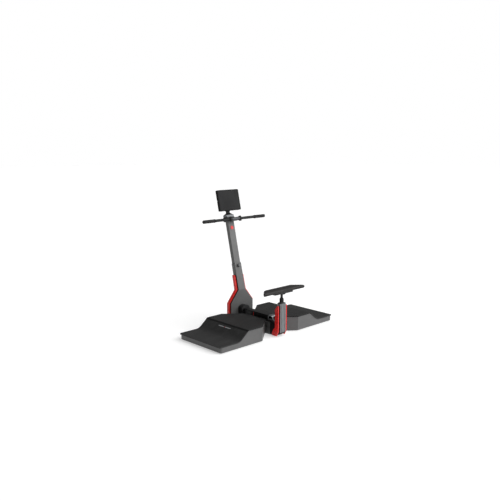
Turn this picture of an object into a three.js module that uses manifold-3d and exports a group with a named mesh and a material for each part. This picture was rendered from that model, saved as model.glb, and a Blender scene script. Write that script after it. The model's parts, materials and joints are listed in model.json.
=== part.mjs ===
// Seated vibration plate: two stepped platforms with vibrating decks, a raked
// column with handlebar and display, and a height-adjustable seat on a post.
// Millimetres, +Z up, X along the platforms, +Y from the seat to the column.
import * as THREE from 'three';
import { mergeVertices } from 'three/addons/utils/BufferGeometryUtils.js';
import Module from 'manifold-3d';

const wasm = await Module();
wasm.setup();

// ---------------------------------------------------------------- dimensions
const GAP = 0.4; // clearance between neighbouring pieces
const ROUND = 28; // facets of a turned part

const DECK = {
  innerX: 92, // inner edge of the upper mat
  cornerY: 183, // where the corner chamfer meets the inner edge
  chamferX: 296, // where it meets the long edge
  halfDepth: 350, // half of the platform depth
  rampTopX: 515,
  rampLowX: 640,
  blend: 45, // length of the curve at the foot of the ramp
  outerX: 926, // outer end of the lower mat
  highTop: 182,
  lowTop: 78,
  matThick: 10,
};

const SKIRT = {
  inset: 4, // skirt face behind the mat edge
  outerInset: 16, // the lower mat overhangs the outer end by this much
  wall: 4,
  bottomZ: 10,
  highTop: 168,
  bulkhead: 4,
};

const TRAY = { z0: 8, z1: 16, inset: 12 };
const ISOLATOR = { innerX: 205, outerX: 462, width: 44, halfLength: 200, z1: 159.2, height: 40, bore: 8 };
const DECK_PLATE = { inset: 12, z0: 162, z1: 172, studRadius: 7, studY: 150, studLength: 22 };
const MOTOR = { x: 334, z: 98, radius: 50, halfLength: 75, shaftRadius: 8 };
const ROTOR = { halfLength: 112, weightRadius: 42, weightInner: 84, weightOuter: 104 };

const TIE = { ys: [-130, 130], half: 30, top: 21 }; // flat ties from the beam to the trays
const CHASSIS = { halfWidth: 59.6, y0: -230, footY0: 300, footY1: 400, footHalfWidth: 150, top: 150, wall: 5 };
const ARM = { halfWidth: 34, y0: -178, y1: 236, z0: 166, z1: 215 };

const COLUMN = {
  kneeY: 304, // front face at the knee, where the rake starts
  kneeZ: 440, // the flare starts here as well
  rake: THREE.MathUtils.degToRad(13.05),
  neckHalf: 55.5,
  topHalf: 50.5,
  bellHalf: 179,
  flareLowZ: 292,
  coverBottomZ: 152,
  coverTopZ: 760,
  sheet: 2.4,
  gasketBack: 20,
  trimBack: 54,
  trimTopZ: 612,
  trimNeck: 24, // how far the trims stand out beside the neck
  trimBell: 19, // and beside the bell
  sideInner: 50.4, // the sides keep this far from the middle
  sideBand: 14,
};

const LOWER_TUBE = { half: 50, v0: 2.8, v1: 60, w0: 12, w1: 320, wall: 2 };
const UPPER_TUBE = { half: 46, v0: 7, v1: 56, w0: 80, w1: 838, wall: 2.5 };
const COLUMN_TRAVEL = 120;
const LOCK = { w: 296, pinRadius: 5, knobRadius: 21, knobLength: 17, bossRadius: 13, bossLength: 5 };
const BADGE = { w: 762, radius: 22, thick: 3 };

const HEAD = { half: 66, v0: 1, v1: 71, w0: 838.6, w1: 893, capTop: 919 };
const BAR = { y: 425, z: 1292, radius: 17, halfLength: 490, armX: 76, armHalf: 12 };
const GRIP = { radius: 20, length: 178, end: 497 };

const DISPLAY = {
  half: 168,
  w0: 967,
  height: 255,
  v0: -24,
  v1: 18,
  corner: 12,
  bezel: 9,
  hingeV: 37,
  hingeW: 985,
  neckHalf: 22,
  barrelHalf: 27,
  earThick: 9,
};

const POST = { half: 43, y0: -380, y1: -330, z0: 55, z1: 391, groove: 8, grooveDepth: 7 };
const PLATE = { inner: 60, thick: 12, y0: -370, y1: -320, toeY: -276, z0: 13, top: 368, holePitch: 37 };
const SEAT = { y: -355, stemRadius: 14, panZ: 512, padZ0: 530, padZ1: 568, padFrontY: -287, padRearY: -412 };
const PAN = { half: 150, y0: -400, y1: -300, corner: 18 };
const PAD = { frontHalf: 218, rearHalf: 344, corner: 9 };
const CAP_HEIGHT = 14; // of the post's top cap
const SEAT_PIN_Z = 250;

// ------------------------------------------------------------------- finishes
const FINISH = {
  greyPaint: { color: 0x77787a, roughness: 0.45, metalness: 0.2 },
  columnPaint: { color: 0x8a8b8d, roughness: 0.4, metalness: 0.25 },
  redPaint: { color: 0xc8261f, roughness: 0.4, metalness: 0.1 },
  blackPaint: { color: 0x1d1d1f, roughness: 0.5, metalness: 0.2 },
  treadRubber: { color: 0x3c3d3e, roughness: 0.85, metalness: 0 },
  rubber: { color: 0x232324, roughness: 0.9, metalness: 0 },
  castIron: { color: 0x55585c, roughness: 0.55, metalness: 0.6 },
  steel: { color: 0xb4b7ba, roughness: 0.35, metalness: 0.9 },
  aluminium: { color: 0xa9acaf, roughness: 0.38, metalness: 0.8 },
  blackPlastic: { color: 0x222224, roughness: 0.55, metalness: 0 },
  screenGlass: { color: 0x141518, roughness: 0.15, metalness: 0 },
  upholstery: { color: 0x3b3a39, roughness: 0.7, metalness: 0 },
};

// -------------------------------------------------------------------- helpers
function toSolid(source) {
  let geometry = source.clone();
  geometry.deleteAttribute('normal');
  geometry.deleteAttribute('uv');
  geometry = mergeVertices(geometry, 1e-4);
  const options = {
    numProp: 3,
    vertProperties: new Float32Array(geometry.attributes.position.array),
    triVerts: new Uint32Array(geometry.index.array),
  };
  return new wasm.Manifold(new wasm.Mesh(options));
}

function toGeometry(solid) {
  const data = solid.getMesh();
  const geometry = new THREE.BufferGeometry();
  geometry.setAttribute('position', new THREE.BufferAttribute(new Float32Array(data.vertProperties), 3));
  geometry.setIndex(new THREE.BufferAttribute(new Uint32Array(data.triVerts), 1));
  return geometry;
}

function flipped(geometry) {
  const index = geometry.index.array;
  for (let i = 0; i < index.length; i += 3) {
    [index[i + 1], index[i + 2]] = [index[i + 2], index[i + 1]];
  }
  return geometry;
}

function union(...solids) {
  return solids.reduce((sum, next) => sum.add(next));
}

function box(x0, x1, y0, y1, z0, z1) {
  const geometry = new THREE.BoxGeometry(x1 - x0, y1 - y0, z1 - z0);
  geometry.translate((x0 + x1) / 2, (y0 + y1) / 2, (z0 + z1) / 2);
  return toSolid(geometry);
}

function shapeOf(points) {
  const shape = new THREE.Shape(points.map(([a, b]) => new THREE.Vector2(a, b)));
  return shape;
}

function extrude(shape, depth) {
  return new THREE.ExtrudeGeometry(shape, { depth, bevelEnabled: false, curveSegments: 6 });
}

// Outline in X,Y extruded along Z.
function prismZ(points, z0, z1) {
  const geometry = extrude(shapeOf(points), z1 - z0);
  geometry.translate(0, 0, z0);
  return toSolid(geometry);
}

// Outline in X,Z extruded along Y.
function prismY(points, y0, y1) {
  const geometry = extrude(shapeOf(points), y1 - y0);
  geometry.rotateX(Math.PI / 2);
  geometry.translate(0, y1, 0);
  return toSolid(geometry);
}

// Outline in Y,Z extruded along X.
function prismX(points, x0, x1) {
  const geometry = extrude(shapeOf(points), x1 - x0);
  const basis = new THREE.Matrix4().makeBasis(
    new THREE.Vector3(0, 1, 0),
    new THREE.Vector3(0, 0, 1),
    new THREE.Vector3(1, 0, 0),
  );
  geometry.applyMatrix4(basis);
  geometry.translate(x0, 0, 0);
  return toSolid(geometry);
}

// Round bar between two stations of one axis ('x', 'y' or 'z').
function rod(axis, radius, from, to, centre, facets = ROUND) {
  const geometry = new THREE.CylinderGeometry(radius, radius, to - from, facets);
  const mid = (from + to) / 2;
  if (axis === 'x') {
    geometry.rotateZ(-Math.PI / 2);
    geometry.translate(mid, centre[0], centre[1]);
  } else if (axis === 'y') {
    geometry.translate(centre[0], mid, centre[1]);
  } else {
    geometry.rotateX(Math.PI / 2);
    geometry.translate(centre[0], centre[1], mid);
  }
  return toSolid(geometry);
}

// Turned part about Z: profile of [radius, height], bottom to top on the outside.
function turned(profile, facets = ROUND) {
  const geometry = new THREE.LatheGeometry(profile.map(([r, h]) => new THREE.Vector2(r, h)), facets);
  geometry.rotateX(Math.PI / 2);
  return toSolid(geometry);
}

// Four-sided frustum with its half sizes at the foot and their share at the top.
function frustum([halfX, halfY], topShare, z0, z1, [x, y]) {
  const geometry = new THREE.CylinderGeometry(topShare * Math.SQRT2, Math.SQRT2, z1 - z0, 4);
  geometry.rotateY(Math.PI / 4);
  geometry.scale(halfX, 1, halfY);
  geometry.rotateX(Math.PI / 2);
  geometry.translate(x, y, (z0 + z1) / 2);
  return toSolid(geometry);
}

// Corner-rounded outline from a list of [x, y] corners with one radius each.
function roundedOutline(corners, steps = 5) {
  const result = [];
  corners.forEach(([x, y, radius], i) => {
    if (!radius) {
      result.push([x, y]);
      return;
    }
    const [px, py] = corners[(i + corners.length - 1) % corners.length];
    const [nx, ny] = corners[(i + 1) % corners.length];
    const before = new THREE.Vector2(px - x, py - y).normalize();
    const after = new THREE.Vector2(nx - x, ny - y).normalize();
    const halfAngle = Math.acos(before.dot(after)) / 2;
    const reach = radius / Math.tan(halfAngle);
    const start = new THREE.Vector2(x, y).addScaledVector(before, reach);
    const end = new THREE.Vector2(x, y).addScaledVector(after, reach);
    const bisector = before.clone().add(after).normalize();
    const centre = new THREE.Vector2(x, y).addScaledVector(bisector, radius / Math.sin(halfAngle));
    const a0 = start.clone().sub(centre).angle();
    let sweep = end.clone().sub(centre).angle() - a0;
    if (sweep > Math.PI) sweep -= 2 * Math.PI;
    if (sweep < -Math.PI) sweep += 2 * Math.PI;
    for (let k = 0; k <= steps; k += 1) {
      const angle = a0 + (sweep * k) / steps;
      result.push([centre.x + radius * Math.cos(angle), centre.y + radius * Math.sin(angle)]);
    }
  });
  return result;
}

const group = new THREE.Group();
group.name = 'vibration_plate';

function addPiece(name, solid, finish, placement = null) {
  const geometry = toGeometry(solid);
  if (placement) {
    geometry.applyMatrix4(placement);
    if (placement.determinant() < 0) flipped(geometry);
  }
  const mesh = new THREE.Mesh(geometry, new THREE.MeshStandardMaterial(FINISH[finish]));
  mesh.name = name;
  group.add(mesh);
}

const MIRROR_X = new THREE.Matrix4().makeScale(-1, 1, 1);

// Adds a right-hand piece and its mirror image on the left.
function addPair(stem, solid, finish, suffix = '') {
  addPiece(`${stem}_right${suffix}`, solid, finish);
  addPiece(`${stem}_left${suffix}`, solid, finish, MIRROR_X);
}

// ------------------------------------------------------------------ platforms
// Plan outline of a platform drawn in from its mat edge, corners chamfered on
// the inside and rounded on the outside.
function platformPlan(inset, innerX, outerX, outerRadius = 0) {
  const half = DECK.halfDepth - inset;
  const slope = (DECK.halfDepth - DECK.cornerY) / (DECK.chamferX - DECK.innerX);
  const drop = inset * Math.hypot(1, slope);
  const innerY = DECK.cornerY + (innerX - DECK.innerX) * slope - drop;
  const chamferX = DECK.innerX + (half - DECK.cornerY + drop) / slope;
  return roundedOutline([
    [innerX, -innerY, 0],
    [chamferX, -half, 0],
    [outerX, -half, outerRadius],
    [outerX, half, outerRadius],
    [chamferX, half, 0],
    [innerX, innerY, 0],
  ]);
}

// Walking surface seen from the side, from the outer end up to the deck seam.
function treadLine(fromX, toX) {
  const { lowTop, highTop, rampLowX, rampTopX, blend } = DECK;
  const slope = (highTop - lowTop) / (rampLowX - rampTopX);
  const start = [rampLowX + blend, lowTop];
  const end = [rampLowX - blend * 0.75, lowTop + slope * blend * 0.75];
  const curve = new THREE.QuadraticBezierCurve(
    new THREE.Vector2(...start),
    new THREE.Vector2(rampLowX, lowTop),
    new THREE.Vector2(...end),
  );
  const bend = curve.getPoints(6).map((p) => [p.x, p.y]);
  const topZ = lowTop + slope * (rampLowX - toX);
  return [[fromX, lowTop], ...bend, [toX, topZ]];
}

// The same line moved down square to the surface.
function lowered(line, drop) {
  return line.map(([x, z], i) => {
    const [ax, az] = line[Math.max(i - 1, 0)];
    const [bx, bz] = line[Math.min(i + 1, line.length - 1)];
    const run = Math.hypot(bx - ax, bz - az);
    const ends = i === 0 || i === line.length - 1;
    const nx = (bz - az) / run;
    const nz = -(bx - ax) / run;
    if (ends) return [x, z - drop / nz];
    return [x - nx * drop, z - nz * drop];
  });
}

function lowerMat() {
  const line = treadLine(DECK.outerX, DECK.rampTopX + 1.5);
  const side = [...line, ...lowered(line, DECK.matThick - GAP).reverse()];
  const plan = platformPlan(0, DECK.innerX, DECK.outerX, 22);
  return prismY(side, -DECK.halfDepth - 1, DECK.halfDepth + 1).intersect(prismZ(plan, 0, 200));
}

function upperMat() {
  const plan = platformPlan(0, DECK.innerX, DECK.rampTopX - 1.5);
  return prismZ(plan, DECK_PLATE.z1 + GAP, DECK.highTop);
}

function skirt() {
  const { inset, outerInset, wall, bottomZ, highTop, bulkhead } = SKIRT;
  const innerX = DECK.innerX + inset;
  const outerX = DECK.outerX - outerInset;
  const topLine = lowered(treadLine(outerX, DECK.rampTopX + 1.5), DECK.matThick);
  const end = topLine[topLine.length - 1];
  const outerSide = [
    [innerX, bottomZ],
    [outerX, bottomZ],
    ...topLine,
    [DECK.rampTopX - bulkhead, end[1]],
    [DECK.rampTopX - bulkhead, highTop],
    [innerX, highTop],
  ];
  const body = prismY(outerSide, -400, 400).intersect(
    prismZ(platformPlan(inset, innerX, outerX, 20), 0, 250),
  );
  const skinLine = lowered(treadLine(outerX - wall, DECK.rampTopX + 1.5), DECK.matThick + wall);
  const lowBay = prismY(
    [[DECK.rampTopX, 0], [outerX - wall, 0], ...skinLine.slice(0, -1), [DECK.rampTopX, skinLine.at(-1)[1]]],
    -400,
    400,
  );
  const highBay = box(innerX + wall, DECK.rampTopX - bulkhead, -400, 400, 0, 260);
  const inner = prismZ(platformPlan(inset + wall, innerX + wall, outerX - wall, 16), -10, 300);
  const trayBay = box(innerX, outerX, -400, 400, 0, TRAY.z1 + GAP);
  const shell = body.subtract(union(lowBay, highBay, trayBay).intersect(inner));
  const half = DECK.halfDepth - inset - wall;
  const rib = box(718, 722, -half, half, TRAY.z1 + GAP, 66);
  const notches = TIE.ys.map((y) => box(0, innerX + wall + 1, y - TIE.half - 1, y + TIE.half + 1, 0, TIE.top + 1));
  return union(shell, rib).subtract(union(...notches));
}

function baseTray() {
  const { z0, z1, inset } = TRAY;
  const plan = platformPlan(inset, DECK.innerX + inset, DECK.outerX - SKIRT.outerInset - 8, 12);
  const beamTop = ISOLATOR.z1 - ISOLATOR.height - GAP;
  const beams = [ISOLATOR.innerX, ISOLATOR.outerX].map((x) => {
    const outer = box(x - 27, x + 27, -ISOLATOR.halfLength, ISOLATOR.halfLength, z1 - 1, beamTop);
    const bore = box(x - 22, x + 22, -400, 400, z1 + 5, beamTop - 5);
    return outer.subtract(bore);
  });
  return union(prismZ(plan, z0, z1), ...beams);
}

// Rubber frame between the tray beams and the vibrating deck plate.
function isolator() {
  const { innerX, outerX, width, halfLength, z1, height, bore } = ISOLATOR;
  const half = width / 2;
  const frame = box(innerX - half, outerX + half, -halfLength, halfLength, z1 - height, z1);
  const window = box(innerX + half, outerX - half, -halfLength + 36, halfLength - 36, 0, 300);
  const bores = [innerX, outerX].flatMap((x) =>
    [-DECK_PLATE.studY, DECK_PLATE.studY].map((y) => rod('z', bore + 1.5, 0, 300, [x, y], 16)),
  );
  return frame.subtract(union(window, ...bores));
}

function deckPlate() {
  const { inset, z0, z1, studRadius, studY, studLength } = DECK_PLATE;
  const plan = platformPlan(inset, DECK.innerX + inset, DECK.rampTopX - 8);
  const ribs = [-130, 130].map((y) => box(236, 431, y - 4, y + 4, z0 - 18, z0 + 1));
  const studs = [ISOLATOR.innerX, ISOLATOR.outerX].flatMap((x) =>
    [-studY, studY].map((y) => rod('z', studRadius, z0 - studLength, z0 + 1, [x, y], 16)),
  );
  return union(prismZ(plan, z0, z1), ...ribs, ...studs);
}

function motor() {
  const { x, z, radius, halfLength, shaftRadius } = MOTOR;
  const barrel = rod('y', radius, -halfLength + 14, halfLength - 14, [x, z]);
  const ends = rod('y', radius - 8, -halfLength, halfLength, [x, z]);
  const pad = box(x - 46, x + 46, -halfLength + 16, halfLength - 16, z, DECK_PLATE.z0 - GAP);
  const bore = rod('y', shaftRadius + 1, -200, 200, [x, z], 20);
  return union(barrel, ends, pad).subtract(bore);
}

function rotor() {
  const { x, z, shaftRadius } = MOTOR;
  const { halfLength, weightRadius, weightInner, weightOuter } = ROTOR;
  const shaft = rod('y', shaftRadius, -halfLength, halfLength, [x, z], 20);
  const below = box(x - 60, x + 60, -200, 200, z - 60, z + 6);
  const weights = [[-weightOuter, -weightInner], [weightInner, weightOuter]].map(([y0, y1]) =>
    rod('y', weightRadius, y0, y1, [x, z]).intersect(below),
  );
  return union(shaft, ...weights);
}

function floorPad() {
  const { inset, z0 } = TRAY;
  const plan = platformPlan(inset + 14, DECK.innerX + inset + 14, DECK.outerX - SKIRT.outerInset - 22, 12);
  return prismZ(plan, 0, z0 - GAP);
}

addPair('platform_skirt', skirt(), 'greyPaint');
addPair('lower_mat', lowerMat(), 'treadRubber');
addPair('upper_mat', upperMat(), 'treadRubber');
addPair('vibration_deck', deckPlate(), 'steel');
addPair('base_tray', baseTray(), 'blackPaint');
addPair('isolator', isolator(), 'rubber');
addPair('vibration_motor', motor(), 'castIron');
addPair('eccentric_rotor', rotor(), 'steel');
addPair('floor_pad', floorPad(), 'rubber');

// -------------------------------------------------------------- column shapes
const SIN = Math.sin(COLUMN.rake);
const COS = Math.cos(COLUMN.rake);
const TAN = SIN / COS;

// Column frame: x across, v backwards from the front face, w up the column.
const COLUMN_FRAME = new THREE.Matrix4().makeBasis(
  new THREE.Vector3(1, 0, 0),
  new THREE.Vector3(0, COS, -SIN),
  new THREE.Vector3(0, SIN, COS),
);
COLUMN_FRAME.setPosition(0, COLUMN.kneeY, COLUMN.kneeZ);

function frontY(z) {
  return COLUMN.kneeY + Math.max(0, z - COLUMN.kneeZ) * TAN;
}

// Slice of the column between two depths behind its bent front face.
function slice(depth0, depth1, z0, z1) {
  const knee = z0 < COLUMN.kneeZ && z1 > COLUMN.kneeZ ? [COLUMN.kneeZ] : [];
  const levels = [z0, ...knee, z1];
  const front = levels.map((z) => [frontY(z) + depth0, z]);
  const back = levels.map((z) => [frontY(z) + depth1, z]).reverse();
  return prismX([...front.reverse(), ...back.reverse()].reverse(), -220, 220);
}

// 0 on the bell, 1 on the neck.
function neckShare(z) {
  return THREE.MathUtils.clamp((z - COLUMN.flareLowZ) / (COLUMN.kneeZ - COLUMN.flareLowZ), 0, 1);
}

function coverHalf(z) {
  const { bellHalf, neckHalf, topHalf, kneeZ, coverTopZ } = COLUMN;
  if (z <= kneeZ) return THREE.MathUtils.lerp(bellHalf, neckHalf, neckShare(z));
  return THREE.MathUtils.mapLinear(Math.min(z, coverTopZ), kneeZ, coverTopZ, neckHalf, topHalf);
}

function trimHalf(z) {
  return coverHalf(z) + THREE.MathUtils.lerp(COLUMN.trimBell, COLUMN.trimNeck, neckShare(z));
}

function sideInnerHalf(z) {
  return Math.max(COLUMN.sideInner, coverHalf(z) - COLUMN.sideBand);
}

// Outline in X,Z, symmetric about the middle, with its half width given per height.
function bell(halfWidth, z0, z1) {
  const { flareLowZ, kneeZ } = COLUMN;
  const innerKnee = flareLowZ + (kneeZ - flareLowZ) * 0.9;
  const levels = [z0, flareLowZ, innerKnee, kneeZ, z1].filter((z) => z >= z0 && z <= z1);
  const right = levels.map((z) => [halfWidth(z), z]);
  const left = levels.map((z) => [-halfWidth(z), z]).reverse();
  return prismY([...right, ...left], 220, 560);
}

function columnCover() {
  const { coverBottomZ, coverTopZ, sheet } = COLUMN;
  const outer = bell(coverHalf, coverBottomZ, coverTopZ).intersect(slice(0, sheet, coverBottomZ, coverTopZ));
  const z = COLUMN.kneeZ + LOCK.w * COS;
  const knobHole = rod('y', LOCK.bossRadius + 2.5, 200, frontY(z) + 12, [0, z], 24);
  return outer.subtract(knobHole);
}

// Side band behind the cover sheet, right half only.
function sideBand(halfWidth, depth0, depth1) {
  const { coverBottomZ, trimTopZ } = COLUMN;
  const band = slice(depth0, depth1, coverBottomZ, trimTopZ);
  const outer = bell(halfWidth, coverBottomZ, trimTopZ).intersect(band);
  const inner = bell(sideInnerHalf, coverBottomZ - 50, trimTopZ + 50);
  return outer.subtract(inner).intersect(box(0, 300, 200, 700, 0, 900));
}

function columnTrim() {
  return sideBand(trimHalf, COLUMN.gasketBack + GAP, COLUMN.trimBack);
}

function columnGasket() {
  return sideBand((z) => coverHalf(z) - 0.5, COLUMN.sheet + GAP, COLUMN.gasketBack);
}

function backCover() {
  const { coverBottomZ, kneeZ } = COLUMN;
  const top = kneeZ - 14;
  const band = slice(LOWER_TUBE.v1 + 3, LOWER_TUBE.v1 + 7, coverBottomZ, top);
  return bell((z) => coverHalf(z) - 4, coverBottomZ, top).intersect(band);
}

function lowerTube() {
  const { half, v0, v1, w0, w1, wall } = LOWER_TUBE;
  const outer = box(-half, half, v0, v1, w0, w1);
  const bore = box(-half + wall, half - wall, v0 + wall, v1 - wall, w0 - 10, w1 + 10);
  const boss = rod('y', LOCK.bossRadius, -LOCK.bossLength, v0 + 1, [0, LOCK.w], 24);
  const pinHole = rod('y', LOCK.pinRadius + 0.5, -40, v0 + wall + 4, [0, LOCK.w], 20);
  return union(outer, boss).subtract(bore).subtract(pinHole);
}

function upperTube() {
  const { half, v0, v1, w0, w1, wall } = UPPER_TUBE;
  const outer = box(-half, half, v0, v1, w0, w1);
  const bore = box(-half + wall, half - wall, v0 + wall, v1 - wall, w0 - 10, w1 + 10);
  const slot = box(-6, 6, v0 - 5, v0 + wall + 5, LOCK.w - COLUMN_TRAVEL - 8, LOCK.w + 8);
  return outer.subtract(bore).subtract(slot);
}

// Plastic guide ring between the two tubes with a flange over the rim.
function columnBush() {
  const outer = LOWER_TUBE;
  const inner = UPPER_TUBE;
  const clear = GAP + outer.wall;
  const ring = box(-outer.half + clear, outer.half - clear, outer.v0 + clear, outer.v1 - clear, 274, outer.w1 + 3);
  const flange = box(-outer.half, outer.half, outer.v0, outer.v1, outer.w1 + GAP, outer.w1 + 6);
  const bore = box(
    -inner.half - GAP,
    inner.half + GAP,
    inner.v0 - GAP,
    inner.v1 + GAP,
    200,
    400,
  );
  const pinHole = rod('y', LOCK.pinRadius + 1, -40, inner.v0 + 4, [0, LOCK.w], 20);
  return union(ring, flange).subtract(bore).subtract(pinHole);
}

// Pull knob with its plunger running in the slot of the upper tube.
function lockKnob() {
  const { pinRadius, knobRadius, knobLength, bossLength, w } = LOCK;
  const start = -bossLength - GAP;
  const pin = rod('y', pinRadius, start - 4, UPPER_TUBE.v0 + 2, [0, w], 20);
  const grip = turned([
    [0, 0],
    [knobRadius - 7, 0],
    [knobRadius - 4, 3],
    [knobRadius - 4, 7],
    [knobRadius, 11],
    [knobRadius, knobLength - 6],
    [knobRadius - 2, knobLength - 2],
    [knobRadius - 6, knobLength],
    [0, knobLength],
  ]);
  const geometry = toGeometry(grip);
  geometry.rotateX(Math.PI / 2);
  geometry.translate(0, start, w);
  return union(pin, toSolid(geometry));
}

function badge() {
  const back = UPPER_TUBE.v0 - GAP;
  return rod('y', BADGE.radius, back - BADGE.thick, back, [0, BADGE.w], 32);
}

addPiece('column_cover', columnCover(), 'columnPaint');
addPair('column_trim', columnTrim(), 'redPaint');
addPair('column_gasket', columnGasket(), 'rubber');
addPiece('column_back_cover', backCover(), 'blackPlastic');
addPiece('column_lower_tube', lowerTube(), 'columnPaint', COLUMN_FRAME);
addPiece('column_upper_tube', upperTube(), 'columnPaint', COLUMN_FRAME);
addPiece('column_bush', columnBush(), 'blackPlastic', COLUMN_FRAME);
addPiece('lock_knob', lockKnob(), 'blackPlastic', COLUMN_FRAME);
addPiece('badge_disc', badge(), 'redPaint', COLUMN_FRAME);

// ----------------------------------------------------------- head and handlebar
const barLocal = (() => {
  const world = new THREE.Vector3(0, BAR.y, BAR.z);
  world.applyMatrix4(COLUMN_FRAME.clone().invert());
  return [world.y, world.z];
})();

function headBracket() {
  const { half, v0, v1, w0, w1 } = HEAD;
  const outline = roundedOutline([[-half, v0, 8], [half, v0, 8], [half, v1, 8], [-half, v1, 8]], 3);
  return prismZ(outline, w0, w1);
}

// Light slab closing the head.
function headCap() {
  const { half, v0, v1, w1, capTop } = HEAD;
  const rim = roundedOutline(
    [[-half + 3, v0 + 3, 8], [half - 3, v0 + 3, 8], [half - 3, v1 - 3, 8], [-half + 3, v1 - 3, 8]],
    3,
  );
  return prismZ(rim, w1 + GAP, capTop);
}

// Fork that carries the handlebar in front of the head, with a sleeve round its middle.
function barFork() {
  const { armX, armHalf, radius } = BAR;
  const [v, w] = barLocal;
  const back = box(-armX - armHalf, armX + armHalf, HEAD.v0 - 12, HEAD.v0 - GAP, w - 20, w + 20);
  const arms = [-armX, armX].map((x) => box(x - armHalf, x + armHalf, v, HEAD.v0 - 6, w - 15, w + 15));
  const saddles = [-armX, armX].map((x) =>
    rod('x', radius + 9.6, x - armHalf, x + armHalf, [v, w]),
  );
  const cut = box(-200, 200, v - 60, v - 1, w - 60, w + 60);
  const sleeveRadius = radius + 4.5;
  const sleeveHalf = armX - armHalf - 2 - GAP;
  const sleeve = rod('x', sleeveRadius, -sleeveHalf, sleeveHalf, [v, w]);
  const joint = rod('x', sleeveRadius, -armX, armX, [v, w]);
  const bore = rod('x', radius + GAP, -200, 200, [v, w]);
  return union(back, ...arms, ...saddles, joint).subtract(cut).add(sleeve).subtract(bore);
}

// Half shell closing the fork round the bar.
function barClamp() {
  const { armX, armHalf, radius } = BAR;
  const [v, w] = barLocal;
  const ring = rod('x', radius + 9.6, armX - armHalf - 2, armX + armHalf + 2, [v, w]);
  const ears = box(armX - armHalf - 2, armX + armHalf + 2, v - 12, v - 2, w - 32, w + 32);
  const keep = box(0, 200, v - 60, v - 1 - GAP, w - 60, w + 60);
  const bore = rod('x', radius + GAP, 0, 200, [v, w]);
  return union(ring, ears).intersect(keep).subtract(bore);
}

function handlebar() {
  const [v, w] = barLocal;
  const tube = rod('x', BAR.radius, -BAR.halfLength, BAR.halfLength, [v, w]);
  return tube.subtract(rod('x', BAR.radius - 2.5, -BAR.halfLength - 5, BAR.halfLength + 5, [v, w]));
}

function grip() {
  const [v, w] = barLocal;
  const { radius, length, end } = GRIP;
  const profile = [
    [0, end - length],
    [radius - 1, end - length],
    [radius + 2, end - length + 3],
    [radius + 2, end - length + 8],
    [radius, end - length + 12],
    [radius, end - 6],
    [radius - 5, end],
    [0, end],
  ];
  const geometry = toGeometry(turned(profile));
  geometry.rotateY(Math.PI / 2);
  geometry.translate(0, v, w);
  const bore = rod('x', BAR.radius + GAP, 0, BAR.halfLength + GAP, [v, w]);
  return toSolid(geometry).subtract(bore);
}

const MIRROR_HEAD = COLUMN_FRAME.clone().multiply(MIRROR_X);

addPiece('head_bracket', headBracket(), 'blackPaint', COLUMN_FRAME);
addPiece('head_cap', headCap(), 'aluminium', COLUMN_FRAME);
addPiece('bar_fork', barFork(), 'aluminium', COLUMN_FRAME);
addPiece('bar_clamp_right', barClamp(), 'blackPaint', COLUMN_FRAME);
addPiece('bar_clamp_left', barClamp(), 'blackPaint', MIRROR_HEAD);
addPiece('handlebar', handlebar(), 'blackPaint', COLUMN_FRAME);
addPiece('grip_right', grip(), 'rubber', COLUMN_FRAME);
addPiece('grip_left', grip(), 'rubber', MIRROR_HEAD);

// -------------------------------------------------------------------- display
function displayNeck() {
  const { hingeV, hingeW, neckHalf, barrelHalf, earThick } = DISPLAY;
  const foot = HEAD.capTop + GAP;
  const base = frustum([54, 30], 0.45, foot, foot + 22, [0, hingeV]);
  const post = box(-neckHalf, neckHalf, hingeV - 11, hingeV + 13, foot, hingeW - 12);
  const barrel = rod('x', 14, -barrelHalf, barrelHalf, [hingeV, hingeW], 32);
  const cheek = box(-barrelHalf, barrelHalf, hingeV - 11, hingeV + 11, hingeW - 20, hingeW);
  const pinHalf = barrelHalf + earThick + 3;
  const pin = rod('x', 5, -pinHalf, pinHalf, [hingeV, hingeW], 20);
  return union(base, post, cheek, barrel, pin);
}

function displayFace(inset, v0, v1) {
  const { half, w0, height, corner } = DISPLAY;
  const r = Math.max(corner - inset, 3);
  const outline = roundedOutline([
    [-half + inset, w0 + inset, r],
    [half - inset, w0 + inset, r],
    [half - inset, w0 + height - inset, r],
    [-half + inset, w0 + height - inset, r],
  ], 4);
  return prismY(outline, v0, v1);
}

function displayHousing() {
  const { v0, v1, bezel, hingeV, hingeW, half, w0, height, barrelHalf, earThick } = DISPLAY;
  const front = displayFace(0, v0, v1 - 8);
  const back = displayFace(7, v1 - 9, v1);
  const recess = displayFace(bezel, v0 - 5, v0 + 3.4);
  const earInner = barrelHalf + GAP;
  const earOuter = earInner + earThick;
  const ears = [[-earOuter, -earInner], [earInner, earOuter]].map(([x0, x1]) => {
    const plate = box(x0, x1, v1 - 4, hingeV, hingeW - 13, hingeW + 13);
    return union(plate, rod('x', 13, x0, x1, [hingeV, hingeW]));
  });
  const pinBore = rod('x', 5.6, -earOuter - 10, earOuter + 10, [hingeV, hingeW], 20);
  const buttonHole = rod('x', 7, -half - 5, -half + 8, [-3, w0 + height / 2], 20);
  return union(front, back, ...ears).subtract(recess).subtract(pinBore).subtract(buttonHole);
}

function displayScreen() {
  return displayFace(DISPLAY.bezel + GAP, DISPLAY.v0 + 0.6, DISPLAY.v0 + 3);
}

function displayButton() {
  const { half, w0, height } = DISPLAY;
  return rod('x', 6.2, -half - 3, -half + 5, [-3, w0 + height / 2], 20);
}

addPiece('display_neck', displayNeck(), 'blackPaint', COLUMN_FRAME);
addPiece('display_housing', displayHousing(), 'blackPlastic', COLUMN_FRAME);
addPiece('display_screen', displayScreen(), 'screenGlass', COLUMN_FRAME);
addPiece('display_button', displayButton(), 'steel', COLUMN_FRAME);

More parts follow.
